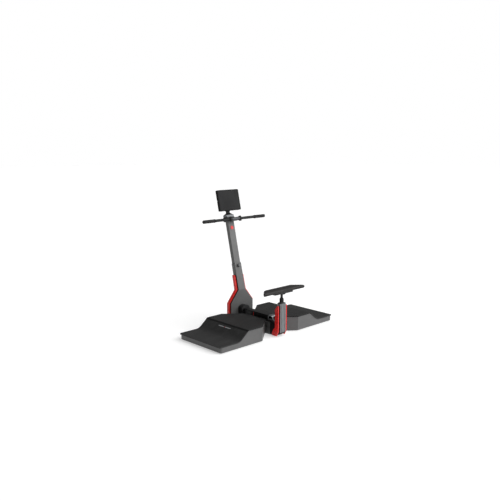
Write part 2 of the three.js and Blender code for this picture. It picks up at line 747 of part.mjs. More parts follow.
// -------------------------------------------------------------------- chassis
function chassis() {
  const { halfWidth, y0, footY0, footY1, footHalfWidth, top, wall } = CHASSIS;
  const beam = box(-halfWidth, halfWidth, y0, footY0 + 1, TRAY.z0, top);
  const beamBore = box(-halfWidth + wall, halfWidth - wall, y0 - 10, footY0 - 20, TRAY.z0 + wall, top - wall);
  const foot = box(-footHalfWidth, footHalfWidth, footY0, footY1, TRAY.z0, top - 2);
  const footBore = box(-footHalfWidth + wall, footHalfWidth - wall, footY0 + wall, footY1 - wall, 0, top - 8);
  const slope = -TAN;
  const frontY0 = COLUMN.kneeY + 6;
  const backY = COLUMN.kneeY + 55;
  const frontTop = COLUMN.kneeZ + LOWER_TUBE.w0 * COS - 1;
  const upright = prismX(
    [
      [frontY0, top - 10],
      [backY, top - 10],
      [backY, frontTop + (backY - COLUMN.kneeY) * slope],
      [frontY0, frontTop + (frontY0 - COLUMN.kneeY) * slope],
    ],
    -50,
    50,
  );
  const reach = DECK.innerX + TRAY.inset - GAP;
  const ties = TIE.ys.map((y) => box(-reach, reach, y - TIE.half, y + TIE.half, TRAY.z0, TIE.top));
  const porthole = rod('x', 15, -halfWidth - 5, -halfWidth + wall + 5, [-168, 92], 20);
  const lightened = union(beam, foot).subtract(beamBore).subtract(footBore);
  return union(lightened, upright, ...ties).subtract(porthole);
}

// Block that joins the seat post plates to the end of the chassis beam.
function postBlock() {
  const { halfWidth, y0 } = CHASSIS;
  const outline = [
    [y0 - GAP, 12],
    [y0 - GAP, 164],
    [-312, 164],
    [-324, 150],
    [-324, 12],
  ];
  return prismX(outline.reverse(), -halfWidth, halfWidth);
}

function arm() {
  const { halfWidth, y0, y1, z0, z1 } = ARM;
  const outer = box(-halfWidth, halfWidth, y0, y1, z0, z1);
  return outer.subtract(box(-halfWidth + 4, halfWidth - 4, y0 - 5, y1 + 5, z0 + 4, z1 - 4));
}

function armTopCover() {
  const { halfWidth, y0, y1, z1 } = ARM;
  return box(-halfWidth - 2, halfWidth + 2, y0 + 6, y1 - 4, z1 + GAP, z1 + 7);
}

// Bright end bracket with chamfered, windowed cheeks.
function armEndBracket() {
  const { halfWidth, z1 } = ARM;
  const base = 164 + GAP;
  const side = [
    [-172, base],
    [-172, z1 + 9],
    [-237, z1 + 9],
    [-264, z1 - 24],
    [-264, base],
  ];
  const body = prismX(side.reverse(), -halfWidth - 8, halfWidth + 8);
  const channel = box(-halfWidth - GAP, halfWidth + GAP, -400, -100, base + 1.4, z1 + 0.2);
  const window = prismX(
    [[-184, 176], [-184, 214], [-234, 214], [-253, 188], [-253, 176]].reverse(),
    -100,
    100,
  );
  const lid = box(-100, 100, -184, -100, z1 - 1, z1 + 20);
  return body.subtract(channel).subtract(window).subtract(lid);
}

// Rounded hood where the arm enters the column foot.
function footHood() {
  const arc = [];
  const steps = 10;
  for (let i = 0; i <= steps; i += 1) {
    const angle = (Math.PI * i) / steps;
    arc.push([64 * Math.cos(angle), 212 + 48 * Math.sin(angle)]);
  }
  const outline = [[64, CHASSIS.top + GAP], ...arc, [-64, CHASSIS.top + GAP]];
  const shell = prismY(outline, 238, COLUMN.kneeY - GAP);
  const cavity = prismY(outline.map(([x, z]) => [x * 0.92, (z - 150) * 0.93 + 148]), 250, 320);
  return shell.subtract(cavity);
}

addPiece('chassis', chassis(), 'greyPaint');
addPiece('post_block', postBlock(), 'blackPaint');
addPiece('arm_beam', arm(), 'blackPaint');
addPiece('arm_top_cover', armTopCover(), 'treadRubber');
addPiece('arm_end_bracket', armEndBracket(), 'aluminium');
addPiece('foot_hood', footHood(), 'blackPlastic');

// ------------------------------------------------------------------ seat post
// Aluminium extrusion with vertical grooves all round and an open core.
function seatPost() {
  const { half, y0, y1, z0, z1, groove, grooveDepth } = POST;
  const g = groove / 2;
  const body = box(-half, half, y0, y1, z0, z1);
  const core = box(-half + 16, half - 16, y0 + 14, y1 - 14, z0 - 10, z1 + 10);
  const frontGrooves = [-25, 0, 25].flatMap((x) => [
    box(x - g, x + g, y0 - 5, y0 + grooveDepth, z0 - 10, z1 + 10),
    box(x - g, x + g, y1 - grooveDepth, y1 + 5, z0 - 10, z1 + 10),
  ]);
  const sideGrooves = [-1, 1].map((s) => {
    const outer = s * (half + 5);
    const inner = s * (half - grooveDepth - 2);
    return box(Math.min(outer, inner), Math.max(outer, inner), SEAT.y - 6, SEAT.y + 6, z0 - 10, z1 + 10);
  });
  return body.subtract(union(core, ...frontGrooves, ...sideGrooves));
}

function postFootCap() {
  const { half, y0, y1, z0 } = POST;
  return box(-half + 2, half - 2, y0 + 2, y1 - 2, z0 - 14, z0 - GAP);
}

function postTopCap() {
  const { half, y0, y1, z1 } = POST;
  const z = z1 + GAP;
  const plate = box(-half - 1, half + 1, y0 - 1, y1 + 1, z, z + 5);
  const dome = frustum([half, (y1 - y0) / 2], 0.6, z + 4, z + CAP_HEIGHT, [0, SEAT.y]);
  const bore = rod('z', SEAT.stemRadius + 0.6, z + 4, z + 40, [0, SEAT.y], 24);
  return union(plate, dome).subtract(bore);
}

// Plate beside the post with a slanted top, a toe at the floor and index holes.
function sidePlate() {
  const { inner, thick, y0, y1, toeY, z0, top, holePitch } = PLATE;
  const outline = [
    [y0 + 24, z0],
    [toeY, z0],
    [toeY, z0 + 34],
    [toeY - 14, z0 + 66],
    [y1, z0 + 100],
    [y1, top - 44],
    [y0 + 20, top],
    [y0, top],
    [y0, z0 + 54],
  ];
  const plate = prismX(outline, inner, inner + thick);
  const holes = [];
  for (let i = 0; i < 8; i += 1) {
    holes.push(rod('x', 6.5, 0, 200, [SEAT.y, SEAT_PIN_Z + (i - 5) * holePitch], 16));
  }
  return plate.subtract(union(...holes));
}

// Spring plunger through the right plate, its nose in the side groove.
function seatPin() {
  const { inner, thick } = PLATE;
  const face = inner + thick;
  const nose = rod('x', 5, POST.half - 4, face + 5, [SEAT.y, SEAT_PIN_Z], 16);
  const head = rod('x', 10, face + 4, face + 16, [SEAT.y, SEAT_PIN_Z], 20);
  return union(nose, head);
}

function seatCollar() {
  const z = POST.z1 + CAP_HEIGHT + 2 * GAP;
  const profile = [
    [0, z],
    [22, z],
    [24.5, z + 8],
    [25, z + 24],
    [23, z + 40],
    [18, z + 50],
    [0, z + 50],
  ];
  const geometry = toGeometry(turned(profile));
  geometry.translate(0, SEAT.y, 0);
  const bore = rod('z', SEAT.stemRadius + 0.6, z - 20, z + 80, [0, SEAT.y], 24);
  return toSolid(geometry).subtract(bore);
}

function seatStem() {
  const { y, stemRadius, panZ } = SEAT;
  const stem = rod('z', stemRadius, POST.z1 + 10, panZ - 8, [0, y]);
  const flange = rod('z', 42, panZ - 10, panZ - GAP, [0, y]);
  return union(stem, flange);
}

// Seat outline: narrow edge to the column, wide edge at the rear.
function seatPlan(inset) {
  const { frontHalf, rearHalf, corner } = PAD;
  const { padFrontY, padRearY } = SEAT;
  const r = corner - inset * 0.4;
  return roundedOutline([
    [-rearHalf + inset, padRearY + inset, r],
    [rearHalf - inset, padRearY + inset, r],
    [frontHalf - inset, padFrontY - inset, r],
    [-frontHalf + inset, padFrontY - inset, r],
  ], 5);
}

function seatPan() {
  const { half, y0, y1, corner } = PAN;
  const outline = roundedOutline([
    [-half, y0, corner],
    [half, y0, corner],
    [half, y1, corner],
    [-half, y1, corner],
  ]);
  return prismZ(outline, SEAT.panZ, SEAT.padZ0 - GAP);
}

function seatCushion() {
  const { padZ0, padZ1 } = SEAT;
  const layers = [
    [4, padZ0, padZ0 + 6],
    [0, padZ0 + 5, padZ1 - 10],
    [3, padZ1 - 11, padZ1 - 5],
    [8, padZ1 - 6, padZ1],
  ];
  return union(...layers.map(([inset, z0, z1]) => prismZ(seatPlan(inset), z0, z1)));
}

addPiece('seat_post', seatPost(), 'aluminium');
addPiece('post_foot_cap', postFootCap(), 'blackPlastic');
addPiece('post_top_cap', postTopCap(), 'blackPlastic');
addPair('post_plate', sidePlate(), 'redPaint');
addPiece('seat_pin', seatPin(), 'blackPlastic');
addPiece('seat_collar', seatCollar(), 'blackPaint');
addPiece('seat_stem', seatStem(), 'blackPaint');
addPiece('seat_pan', seatPan(), 'blackPlastic');
addPiece('seat_cushion', seatCushion(), 'upholstery');

// -------------------------------------------------------------------- controls
const CONTROL = { half: 95, y0: CHASSIS.footY1 + GAP, y1: 452, z0: 24, z1: 138 };

function controlBox() {
  const { half, y0, y1, z0, z1 } = CONTROL;
  const outline = roundedOutline([[-half, z0, 8], [half, z0, 8], [half, z1, 8], [-half, z1, 8]], 3);
  const inletPocket = box(-61, -29, y1 - 26, y1 + 5, 66, 94);
  const switchPocket = box(28.5, 51.5, y1 - 20, y1 + 5, 64.5, 95.5);
  return prismY(outline, y0, y1).subtract(inletPocket).subtract(switchPocket);
}

// Flush power inlet with three flat pins in its recess.
function powerInlet() {
  const { y1 } = CONTROL;
  const frame = box(-60.4, -29.6, y1 - 25, y1 + 2, 66.6, 93.4);
  const recess = box(-57, -33, y1 - 16, y1 + 5, 71, 89);
  const pins = [-51, -45, -39].map((x) => box(x - 1, x + 1, y1 - 17, y1 - 4, 77, 83));
  return union(frame.subtract(recess), ...pins);
}

function powerSwitch() {
  const { y1 } = CONTROL;
  const side = [[y1 - 6, 66.5], [y1 + 2, 66.5], [y1 - 0.6, 80], [y1 + 2, 93.5], [y1 - 6, 93.5]];
  return prismX(side.reverse(), 29.4, 50.6);
}

addPiece('control_box', controlBox(), 'blackPlastic');
addPiece('power_inlet', powerInlet(), 'blackPlastic');
addPiece('power_switch', powerSwitch(), 'blackPlastic');

// The origin sits on the floor at the middle of the overall length and depth.
const bounds = new THREE.Box3().setFromObject(group);
const middleY = (bounds.min.y + bounds.max.y) / 2;
group.children.forEach((mesh) => mesh.geometry.translate(0, -middleY, 0));

export default group;
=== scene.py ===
"""Seated vibration plate: finishes, seat cushion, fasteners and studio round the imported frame."""

import json
import logging
import math
from collections.abc import Callable, Iterable
from dataclasses import dataclass
from enum import Enum

import bmesh
import bpy
from mathutils import Matrix, Vector
from mathutils.bvhtree import BVHTree

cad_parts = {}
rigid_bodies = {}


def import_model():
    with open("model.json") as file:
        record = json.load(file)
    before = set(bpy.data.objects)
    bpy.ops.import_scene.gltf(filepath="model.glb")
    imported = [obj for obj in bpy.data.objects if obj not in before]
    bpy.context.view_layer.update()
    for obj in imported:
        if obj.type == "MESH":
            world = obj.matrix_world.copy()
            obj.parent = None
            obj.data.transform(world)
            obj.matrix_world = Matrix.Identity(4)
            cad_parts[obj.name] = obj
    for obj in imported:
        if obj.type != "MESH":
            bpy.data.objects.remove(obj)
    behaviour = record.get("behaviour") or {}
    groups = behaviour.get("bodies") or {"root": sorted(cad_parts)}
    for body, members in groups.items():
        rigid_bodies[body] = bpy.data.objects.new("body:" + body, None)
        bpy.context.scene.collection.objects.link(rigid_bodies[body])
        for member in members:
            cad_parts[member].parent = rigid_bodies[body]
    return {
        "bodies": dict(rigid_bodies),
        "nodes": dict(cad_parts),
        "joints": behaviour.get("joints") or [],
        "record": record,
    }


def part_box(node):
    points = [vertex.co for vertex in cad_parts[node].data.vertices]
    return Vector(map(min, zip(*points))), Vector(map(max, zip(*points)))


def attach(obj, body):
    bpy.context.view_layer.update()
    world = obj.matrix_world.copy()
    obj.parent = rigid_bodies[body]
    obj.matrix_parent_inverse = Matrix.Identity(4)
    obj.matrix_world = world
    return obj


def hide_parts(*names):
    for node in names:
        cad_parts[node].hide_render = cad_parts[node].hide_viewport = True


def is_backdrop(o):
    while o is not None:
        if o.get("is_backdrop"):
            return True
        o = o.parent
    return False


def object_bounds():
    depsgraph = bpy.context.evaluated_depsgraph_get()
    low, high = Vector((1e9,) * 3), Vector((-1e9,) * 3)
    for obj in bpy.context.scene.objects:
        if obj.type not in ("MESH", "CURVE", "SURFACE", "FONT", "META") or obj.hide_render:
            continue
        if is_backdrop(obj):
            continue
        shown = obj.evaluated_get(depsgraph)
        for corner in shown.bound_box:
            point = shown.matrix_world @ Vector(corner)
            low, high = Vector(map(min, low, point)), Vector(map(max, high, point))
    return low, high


log = logging.getLogger("vibration_plate")

MM = 0.001
BEVEL_SAMPLES = 4
UPWARD = Vector((0, 0, 1))
REARWARD = Vector((0, 1, 0))

Colour = tuple[float, float, float, float]
Socket = bpy.types.NodeSocket
Tree = bpy.types.NodeTree


class Axis(Enum):
    """A direction of the shared frame."""

    X = 0
    Y = 1
    Z = 2


# ------------------------------------------------------------------ node helpers
def linear(hex_colour: str) -> Colour:
    """Turns an sRGB hex colour into linear RGBA.

    Args:
        hex_colour: Six hex digits, such as "8a8b8d".

    Returns:
        The colour as four linear values.
    """
    channels = [int(hex_colour[i : i + 2], 16) / 255 for i in (0, 2, 4)]
    curved = [c / 12.92 if c <= 0.04045 else ((c + 0.055) / 1.055) ** 2.4 for c in channels]
    return (curved[0], curved[1], curved[2], 1.0)


def shaded(colour: Colour, gain: float, lift: float = 0.0) -> Colour:
    """Makes a colour darker or lighter.

    Args:
        colour: The linear colour.
        gain: What its channels are multiplied by.
        lift: What they gain after that.

    Returns:
        The new colour, no brighter than white.
    """
    red, green, blue = (min(channel * gain + lift, 1.0) for channel in colour[:3])
    return (red, green, blue, 1.0)


def add(tree: Tree, kind: str, inputs: dict | None = None, **settings: object) -> bpy.types.Node:
    """Adds one shader node with its settings and links.

    Args:
        tree: The node tree.
        kind: The node's type without its "ShaderNode" prefix.
        inputs: Values or sockets by input name or number.
        settings: Attributes to set on the node.

    Returns:
        The new node.
    """
    node = tree.nodes.new("ShaderNode" + kind)
    for name, value in settings.items():
        setattr(node, name, value)
    for key, value in (inputs or {}).items():
        if isinstance(value, Socket):
            tree.links.new(value, node.inputs[key])
        else:
            node.inputs[key].default_value = value
    return node


def math_of(tree: Tree, operation: str, a: Socket | float, b: Socket | float = 0.0) -> Socket:
    """Does one step of arithmetic.

    Args:
        tree: The node tree.
        operation: The name of the Math operation.
        a: The first operand.
        b: The second operand.

    Returns:
        The result's socket.
    """
    return add(tree, "Math", {0: a, 1: b}, operation=operation).outputs[0]


def blended(tree: Tree, share: Socket | float, first: Socket | tuple, second: Socket | tuple) -> Socket:
    """Mixes two colours.

    Args:
        tree: The node tree.
        share: 0 gives the first colour, 1 the second.
        first: The first colour.
        second: The second colour.

    Returns:
        The mixed colour's socket.
    """
    return add(tree, "Mix", {0: share, 6: first, 7: second}, data_type="RGBA").outputs[2]


def ranged(tree: Tree, value: Socket, low: float, high: float, to_low: float, to_high: float) -> Socket:
    """Maps a value from one range to another, clamped.

    Args:
        tree: The node tree.
        value: The value's socket.
        low: Start of the source range.
        high: End of the source range.
        to_low: Result at the start.
        to_high: Result at the end.

    Returns:
        The mapped value's socket.
    """
    inputs = {"Value": value, "From Min": low, "From Max": high, "To Min": to_low, "To Max": to_high}
    return add(tree, "MapRange", inputs, clamp=True).outputs[0]


def place_of(tree: Tree) -> Socket:
    """Gives the place on the object in metres; it stays with the piece when it moves."""
    return add(tree, "TexCoord").outputs["Object"]


def along(tree: Tree, place: Socket, axis: Axis) -> Socket:
    """Gives one coordinate of a place."""
    return add(tree, "SeparateXYZ", {0: place}).outputs[axis.value]


def mottle(tree: Tree, place: Socket, size_mm: float, detail: float = 3.0) -> Socket:
    """Gives a soft random pattern whose patches have a real size.

    Args:
        tree: The node tree.
        place: Where on the object.
        size_mm: Size of a patch in millimetres.
        detail: How much finer detail is added.

    Returns:
        The pattern's socket, about 0 to 1.
    """
    inputs = {"Vector": place, "Scale": 1 / (size_mm * MM), "Detail": detail}
    return add(tree, "TexNoise", inputs).outputs["Fac"]


def within(tree: Tree, value: Socket, low: float, high: float) -> Socket:
    """Gives 1 where a value lies between two limits, else 0.

    Args:
        tree: The node tree.
        value: The value's socket.
        low: The lower limit.
        high: The upper limit.

    Returns:
        The mask's socket.
    """
    above = math_of(tree, "GREATER_THAN", value, low)
    below = math_of(tree, "LESS_THAN", value, high)
    return math_of(tree, "MULTIPLY", above, below)


def worn_edge(tree: Tree, bevel: bpy.types.Node, gain: float) -> Socket:
    """Gives 1 on sharp edges and 0 on flat stretches, from a rounded and a true normal.

    Args:
        tree: The node tree.
        bevel: The Bevel node that rounds the normal.
        gain: How fast the edge shows.

    Returns:
        The mask's socket.
    """
    true_normal = add(tree, "NewGeometry").outputs["Normal"]
    dot = add(tree, "VectorMath", {0: bevel.outputs[0], 1: true_normal}, operation="DOT_PRODUCT")
    turn = math_of(tree, "SUBTRACT", 1.0, dot.outputs["Value"])
    return add(tree, "Math", {0: turn, 1: gain}, operation="MULTIPLY", use_clamp=True).outputs[0]


def surfaced(tree: Tree, shader: bpy.types.Node, colour: Socket, gloss: Socket, bump: bpy.types.Node) -> None:
    """Links a surface's colour, roughness and relief to its shader.

    Args:
        tree: The material's node tree.
        shader: Its Principled BSDF.
        colour: The colour's socket.
        gloss: The roughness's socket.
        bump: The Bump node that gives the relief.
    """
    tree.links.new(colour, shader.inputs["Base Color"])
    tree.links.new(gloss, shader.inputs["Roughness"])
    tree.links.new(bump.outputs[0], shader.inputs["Normal"])


# ---------------------------------------------------------------------- finishes
@dataclass(frozen=True)
class Finish:
    """A material with its name; the subclasses say what its surface is."""

    name: str

    def paint(self, tree: Tree, shader: bpy.types.Node) -> None:
        """Sets the shader's inputs.

        Args:
            tree: The material's node tree.
            shader: Its Principled BSDF.
        """
        raise NotImplementedError

    def build(self) -> bpy.types.Material:
        """Makes the material, once for each finish.

        Returns:
            The material.
        """
        made = bpy.data.materials.get(self.name)
        if made is not None:
            return made
        material = bpy.data.materials.new(self.name)
        material.use_nodes = True
        tree = material.node_tree
        self.paint(tree, tree.nodes["Principled BSDF"])
        return material


@dataclass(frozen=True)
class PowderCoat(Finish):
    """Baked powder paint on sheet steel: a fine orange peel, and rubbed edges that catch the light."""

    colour: str
    rubbed: str
    roughness: float = 0.42
    # Real peel is finer; it is drawn about twice as coarse so that it shows.
    peel_mm: float = 1.6
    edge_mm: float = 1.2
    specular: float = 0.5
    ior: float = 1.5
    cloud_mm: float = 140.0
    cloud_shade: float = 0.86
    scuff_mm: float = 9.0
    edge_gain: float = 5.0
    peel_depth_mm: float = 0.4
    peel_strength: float = 0.14

    def marked(self, tree: Tree, place: Socket, colour: Socket) -> Socket:
        """Adds marks of its own to the paint; plain paint has none."""
        return colour

    def paint(self, tree: Tree, shader: bpy.types.Node) -> None:
        """Paints an even coat with soft clouding, edge wear and orange peel.

        Args:
            tree: The material's node tree.
            shader: Its Principled BSDF.
        """
        place = place_of(tree)
        bevel = add(tree, "Bevel", {"Radius": self.edge_mm * MM}, samples=BEVEL_SAMPLES)
        cloud = mottle(tree, place, self.cloud_mm, 4)
        scuff = mottle(tree, place, self.scuff_mm, 5)
        base = linear(self.colour)
        shade = shaded(base, self.cloud_shade)
        coat = blended(tree, ranged(tree, cloud, 0.35, 0.65, 0.0, 1.0), base, shade)
        patchy = ranged(tree, scuff, 0.35, 0.6, 0.2, 1.0)
        edge = math_of(tree, "MULTIPLY", worn_edge(tree, bevel, self.edge_gain), patchy)
        colour = self.marked(tree, place, blended(tree, edge, coat, linear(self.rubbed)))
        bump_inputs = {
            "Strength": self.peel_strength,
            "Distance": self.peel_depth_mm * MM,
            "Height": mottle(tree, place, self.peel_mm, 2),
            "Normal": bevel.outputs[0],
        }
        bump = add(tree, "Bump", bump_inputs)
        gloss = ranged(tree, scuff, 0.3, 0.7, self.roughness - 0.05, self.roughness + 0.07)
        surfaced(tree, shader, colour, gloss, bump)
        shader.inputs["IOR"].default_value = self.ior
        shader.inputs["Specular IOR Level"].default_value = self.specular


@dataclass(frozen=True)
class BandedPaint(PowderCoat):
    """Powder paint with one painted band across it, such as a length mark on a beam."""

    band: str = "c81f1c"
    band_from: float = 0.0
    band_to: float = 0.0

    def marked(self, tree: Tree, place: Socket, colour: Socket) -> Socket:
        """Adds the band between two stations along Y."""
        band = within(tree, along(tree, place, Axis.Y), self.band_from, self.band_to)
        return blended(tree, band, colour, linear(self.band))


@dataclass(frozen=True)
class TreadRubber(Finish):
    """Moulded rubber tread: long ribs for grip, a plain rim, grey scuffs where feet drag."""

    colour: str
    scuffed: str
    rib_mm: float = 11.0
    rib_height_mm: float = 1.1
    rib_strength: float = 0.6
    rim_from: float = 0.334
    middle_y: float = 0.0
    # Painted shade in the grooves: how dark it is, and how much of it is laid on.
    groove_shade: float = 0.62
    groove_share: float = 0.8
    drag_mm: float = 46.0
    drag_stretch: float = 0.18
    grit_mm: float = 0.9
    grit_share: float = 0.25
    edge_mm: float = 2.0
    specular: float = 0.25
    ior: float = 1.5

    def marked(self, tree: Tree, place: Socket, colour: Socket) -> Socket:
        """Adds printed marks; a plain tread has none."""
        return colour

    def paint(self, tree: Tree, shader: bpy.types.Node) -> None:
        """Paints ribs that run along X, worn lighter on their tops, with painted shade in the grooves between
        them.

        Args:
            tree: The material's node tree.
            shader: Its Principled BSDF.
        """
        place = place_of(tree)
        across = math_of(tree, "SUBTRACT", along(tree, place, Axis.Y), self.middle_y)
        turns = math_of(tree, "MULTIPLY", across, 2 * math.pi / (self.rib_mm * MM))
        wave = math_of(tree, "SINE", turns)
        inside = math_of(tree, "LESS_THAN", math_of(tree, "ABSOLUTE", across), self.rim_from)
        rib = math_of(tree, "MULTIPLY", ranged(tree, wave, -0.5, 0.3, 0.0, 1.0), inside)
        stretched = add(tree, "Mapping", {0: place, "Scale": (self.drag_stretch, 1.0, 1.0)}).outputs[0]
        drag = mottle(tree, stretched, self.drag_mm, 5)
        grit = mottle(tree, place, self.grit_mm, 2)
        dragged = ranged(tree, drag, 0.45, 0.75, 0.0, 0.75)
        scuff = math_of(tree, "MULTIPLY", dragged, ranged(tree, rib, 0, 1, 0.45, 1))
        base = linear(self.colour)
        worn = blended(tree, scuff, base, linear(self.scuffed))
        # Painted shade: the grooves between the ribs, inside the plain rim, are darkened.
        groove_painted_shade = shaded(base, self.groove_shade)
        inner = math_of(tree, "MULTIPLY", inside, self.groove_share)
        groove_shade_mask = math_of(tree, "MULTIPLY", math_of(tree, "SUBTRACT", 1.0, rib), inner)
        colour = self.marked(tree, place, blended(tree, groove_shade_mask, worn, groove_painted_shade))
        bevel = add(tree, "Bevel", {"Radius": self.edge_mm * MM}, samples=BEVEL_SAMPLES)
        bump_inputs = {
            "Strength": self.rib_strength,
            "Distance": self.rib_height_mm * MM,
            "Height": math_of(tree, "ADD", rib, math_of(tree, "MULTIPLY", grit, self.grit_share)),
            "Normal": bevel.outputs[0],
        }
        bump = add(tree, "Bump", bump_inputs)
        surfaced(tree, shader, colour, ranged(tree, drag, 0.3, 0.7, 0.6, 0.76), bump)
        shader.inputs["IOR"].default_value = self.ior
        shader.inputs["Specular IOR Level"].default_value = self.specular


@dataclass(frozen=True)
class StripedTread(TreadRubber):
    """Tread with the joint at its upper end painted near black as a shadow line, and a light strip printed
    below it.
    """

    # Colour of the painted shadow line: near black where the joint at the upper mat's edge lies in shade.
    joint: str = "060606"
    joint_from: float = 0.5145
    joint_to: float = 0.531
    mark: str = "8a3a36"
    strip: str = "9c9ea0"
    strip_x: float = 0.553
    strip_half_width: float = 0.0032
    strip_y: float = 0.0
    strip_half_length: float = 0.1
    mark_share: float = 0.1

    def marked(self, tree: Tree, place: Socket, colour: Socket) -> Socket:
        """Adds the joint as a painted shadow line, and the strip on the ramp as two dashes with a red mark
        between them.

        Args:
            tree: The material's node tree.
            place: Where on the object.
            colour: The plain tread's colour.

        Returns:
            The marked tread's colour.
        """
        x = math_of(tree, "ABSOLUTE", along(tree, place, Axis.X))
        y = math_of(tree, "SUBTRACT", along(tree, place, Axis.Y), self.strip_y)
        reach = math_of(tree, "ABSOLUTE", y)
        mark_half_length = self.strip_half_length * self.mark_share
        across = within(tree, x, self.strip_x - self.strip_half_width, self.strip_x + self.strip_half_width)
        dash = within(tree, reach, mark_half_length, self.strip_half_length)
        dot = math_of(tree, "LESS_THAN", reach, mark_half_length)
        striped = blended(tree, math_of(tree, "MULTIPLY", across, dash), colour, linear(self.strip))
        marked = blended(tree, math_of(tree, "MULTIPLY", across, dot), striped, linear(self.mark))
        # Painted shadow: the band of the joint is darkened to near black.
        joint_shadow_mask = within(tree, x, self.joint_from, self.joint_to)
        return blended(tree, joint_shadow_mask, marked, linear(self.joint))


@dataclass(frozen=True)
class MouldedRubber(Finish):
    """Moulded rubber: dull, faintly clouded, with the fine pits of a blasted mould."""

    colour: str
    # Real pits are a few tenths of a millimetre; they are drawn coarser so that they show.
    grain_mm: float = 1.0
    ring_mm: float = 0.0
    cloud_mm: float = 30.0
    cloud_lift: float = 1.5
    edge_mm: float = 1.5
    relief_mm: float = 0.5
    relief_strength: float = 0.4
    specular: float = 0.35
    ior: float = 1.5

    def paint(self, tree: Tree, shader: bpy.types.Node) -> None:
        """Paints the pits, and grip rings along X where a ring spacing is given.

        Args:
            tree: The material's node tree.
            shader: Its Principled BSDF.
        """
        place = place_of(tree)
        base = linear(self.colour)
        pale = shaded(base, self.cloud_lift)
        height = mottle(tree, place, self.grain_mm, 2)
        if self.ring_mm:
            turns = math_of(tree, "MULTIPLY", along(tree, place, Axis.X), 2 * math.pi / (self.ring_mm * MM))
            ring = ranged(tree, math_of(tree, "SINE", turns), -0.6, 0.2, 0.0, 2.0)
            height = math_of(tree, "ADD", height, ring)
        bevel = add(tree, "Bevel", {"Radius": self.edge_mm * MM}, samples=BEVEL_SAMPLES)
        bump_inputs = {
            "Strength": self.relief_strength,
            "Distance": self.relief_mm * MM,
            "Height": height,
            "Normal": bevel.outputs[0],
        }
        bump = add(tree, "Bump", bump_inputs)
        cloud = mottle(tree, place, self.cloud_mm, 4)
        colour = blended(tree, ranged(tree, cloud, 0.4, 0.7, 0, 1), base, pale)
        surfaced(tree, shader, colour, ranged(tree, cloud, 0.3, 0.7, 0.66, 0.82), bump)
        shader.inputs["IOR"].default_value = self.ior
        shader.inputs["Specular IOR Level"].default_value = self.specular


@dataclass(frozen=True)
class BrushedMetal(Finish):
    """Bare or anodised metal, brushed or machined: fine parallel lines that stretch the highlights."""

    colour: str
    roughness: float = 0.34
    # Real brushing is about a tenth of this; it is drawn coarser so that it shows.
    line_mm: float = 0.5
    axis: Axis = Axis.Z
    stain: float = 0.8
    line_stretch: float = 0.02
    stain_mm: float = 60.0
    edge_mm: float = 0.8
    line_depth_mm: float = 0.2
    line_strength: float = 0.2

    def paint(self, tree: Tree, shader: bpy.types.Node) -> None:
        """Paints brushing lines along one axis and faint stains.

        Args:
            tree: The material's node tree.
            shader: Its Principled BSDF.
        """
        place = place_of(tree)
        stretch = [1.0, 1.0, 1.0]
        stretch[self.axis.value] = self.line_stretch
        lined = add(tree, "Mapping", {0: place, "Scale": tuple(stretch)}).outputs[0]
        lines = mottle(tree, lined, self.line_mm, 3)
        stain = mottle(tree, place, self.stain_mm, 5)
        base = linear(self.colour)
        dark = shaded(base, self.stain)
        colour = blended(tree, ranged(tree, stain, 0.35, 0.7, 0, 1), base, dark)
        bevel = add(tree, "Bevel", {"Radius": self.edge_mm * MM}, samples=BEVEL_SAMPLES)
        bump_inputs = {
            "Strength": self.line_strength,
            "Distance": self.line_depth_mm * MM,
            "Height": lines,
            "Normal": bevel.outputs[0],
        }
        bump = add(tree, "Bump", bump_inputs)
        gloss = ranged(tree, lines, 0.3, 0.7, self.roughness - 0.06, self.roughness + 0.1)
        surfaced(tree, shader, colour, gloss, bump)
        shader.inputs["Metallic"].default_value = 1.0


@dataclass(frozen=True)
class CastIron(Finish):
    """Sand-cast iron under thin grey primer: coarse skin, dull, with rust-brown freckles."""

    colour: str
    rust: str
    # Real casting skin is finer; it is drawn coarser so that it shows.
    grain_mm: float = 2.5
    freckle_mm: float = 7.0
    skin_depth_mm: float = 0.9
    skin_strength: float = 0.7
    metallic: float = 0.4

    def paint(self, tree: Tree, shader: bpy.types.Node) -> None:
        """Paints the coarse casting skin and its freckles.

        Args:
            tree: The material's node tree.
            shader: Its Principled BSDF.
        """
        place = place_of(tree)
        skin = mottle(tree, place, self.grain_mm, 6)
        freckle = mottle(tree, place, self.freckle_mm, 6)
        share = ranged(tree, freckle, 0.6, 0.72, 0, 0.6)
        colour = blended(tree, share, linear(self.colour), linear(self.rust))
        bump_inputs = {
            "Strength": self.skin_strength,
            "Distance": self.skin_depth_mm * MM,
            "Height": skin,
        }
        bump = add(tree, "Bump", bump_inputs)
        surfaced(tree, shader, colour, ranged(tree, skin, 0.3, 0.7, 0.55, 0.72), bump)
        shader.inputs["Metallic"].default_value = self.metallic


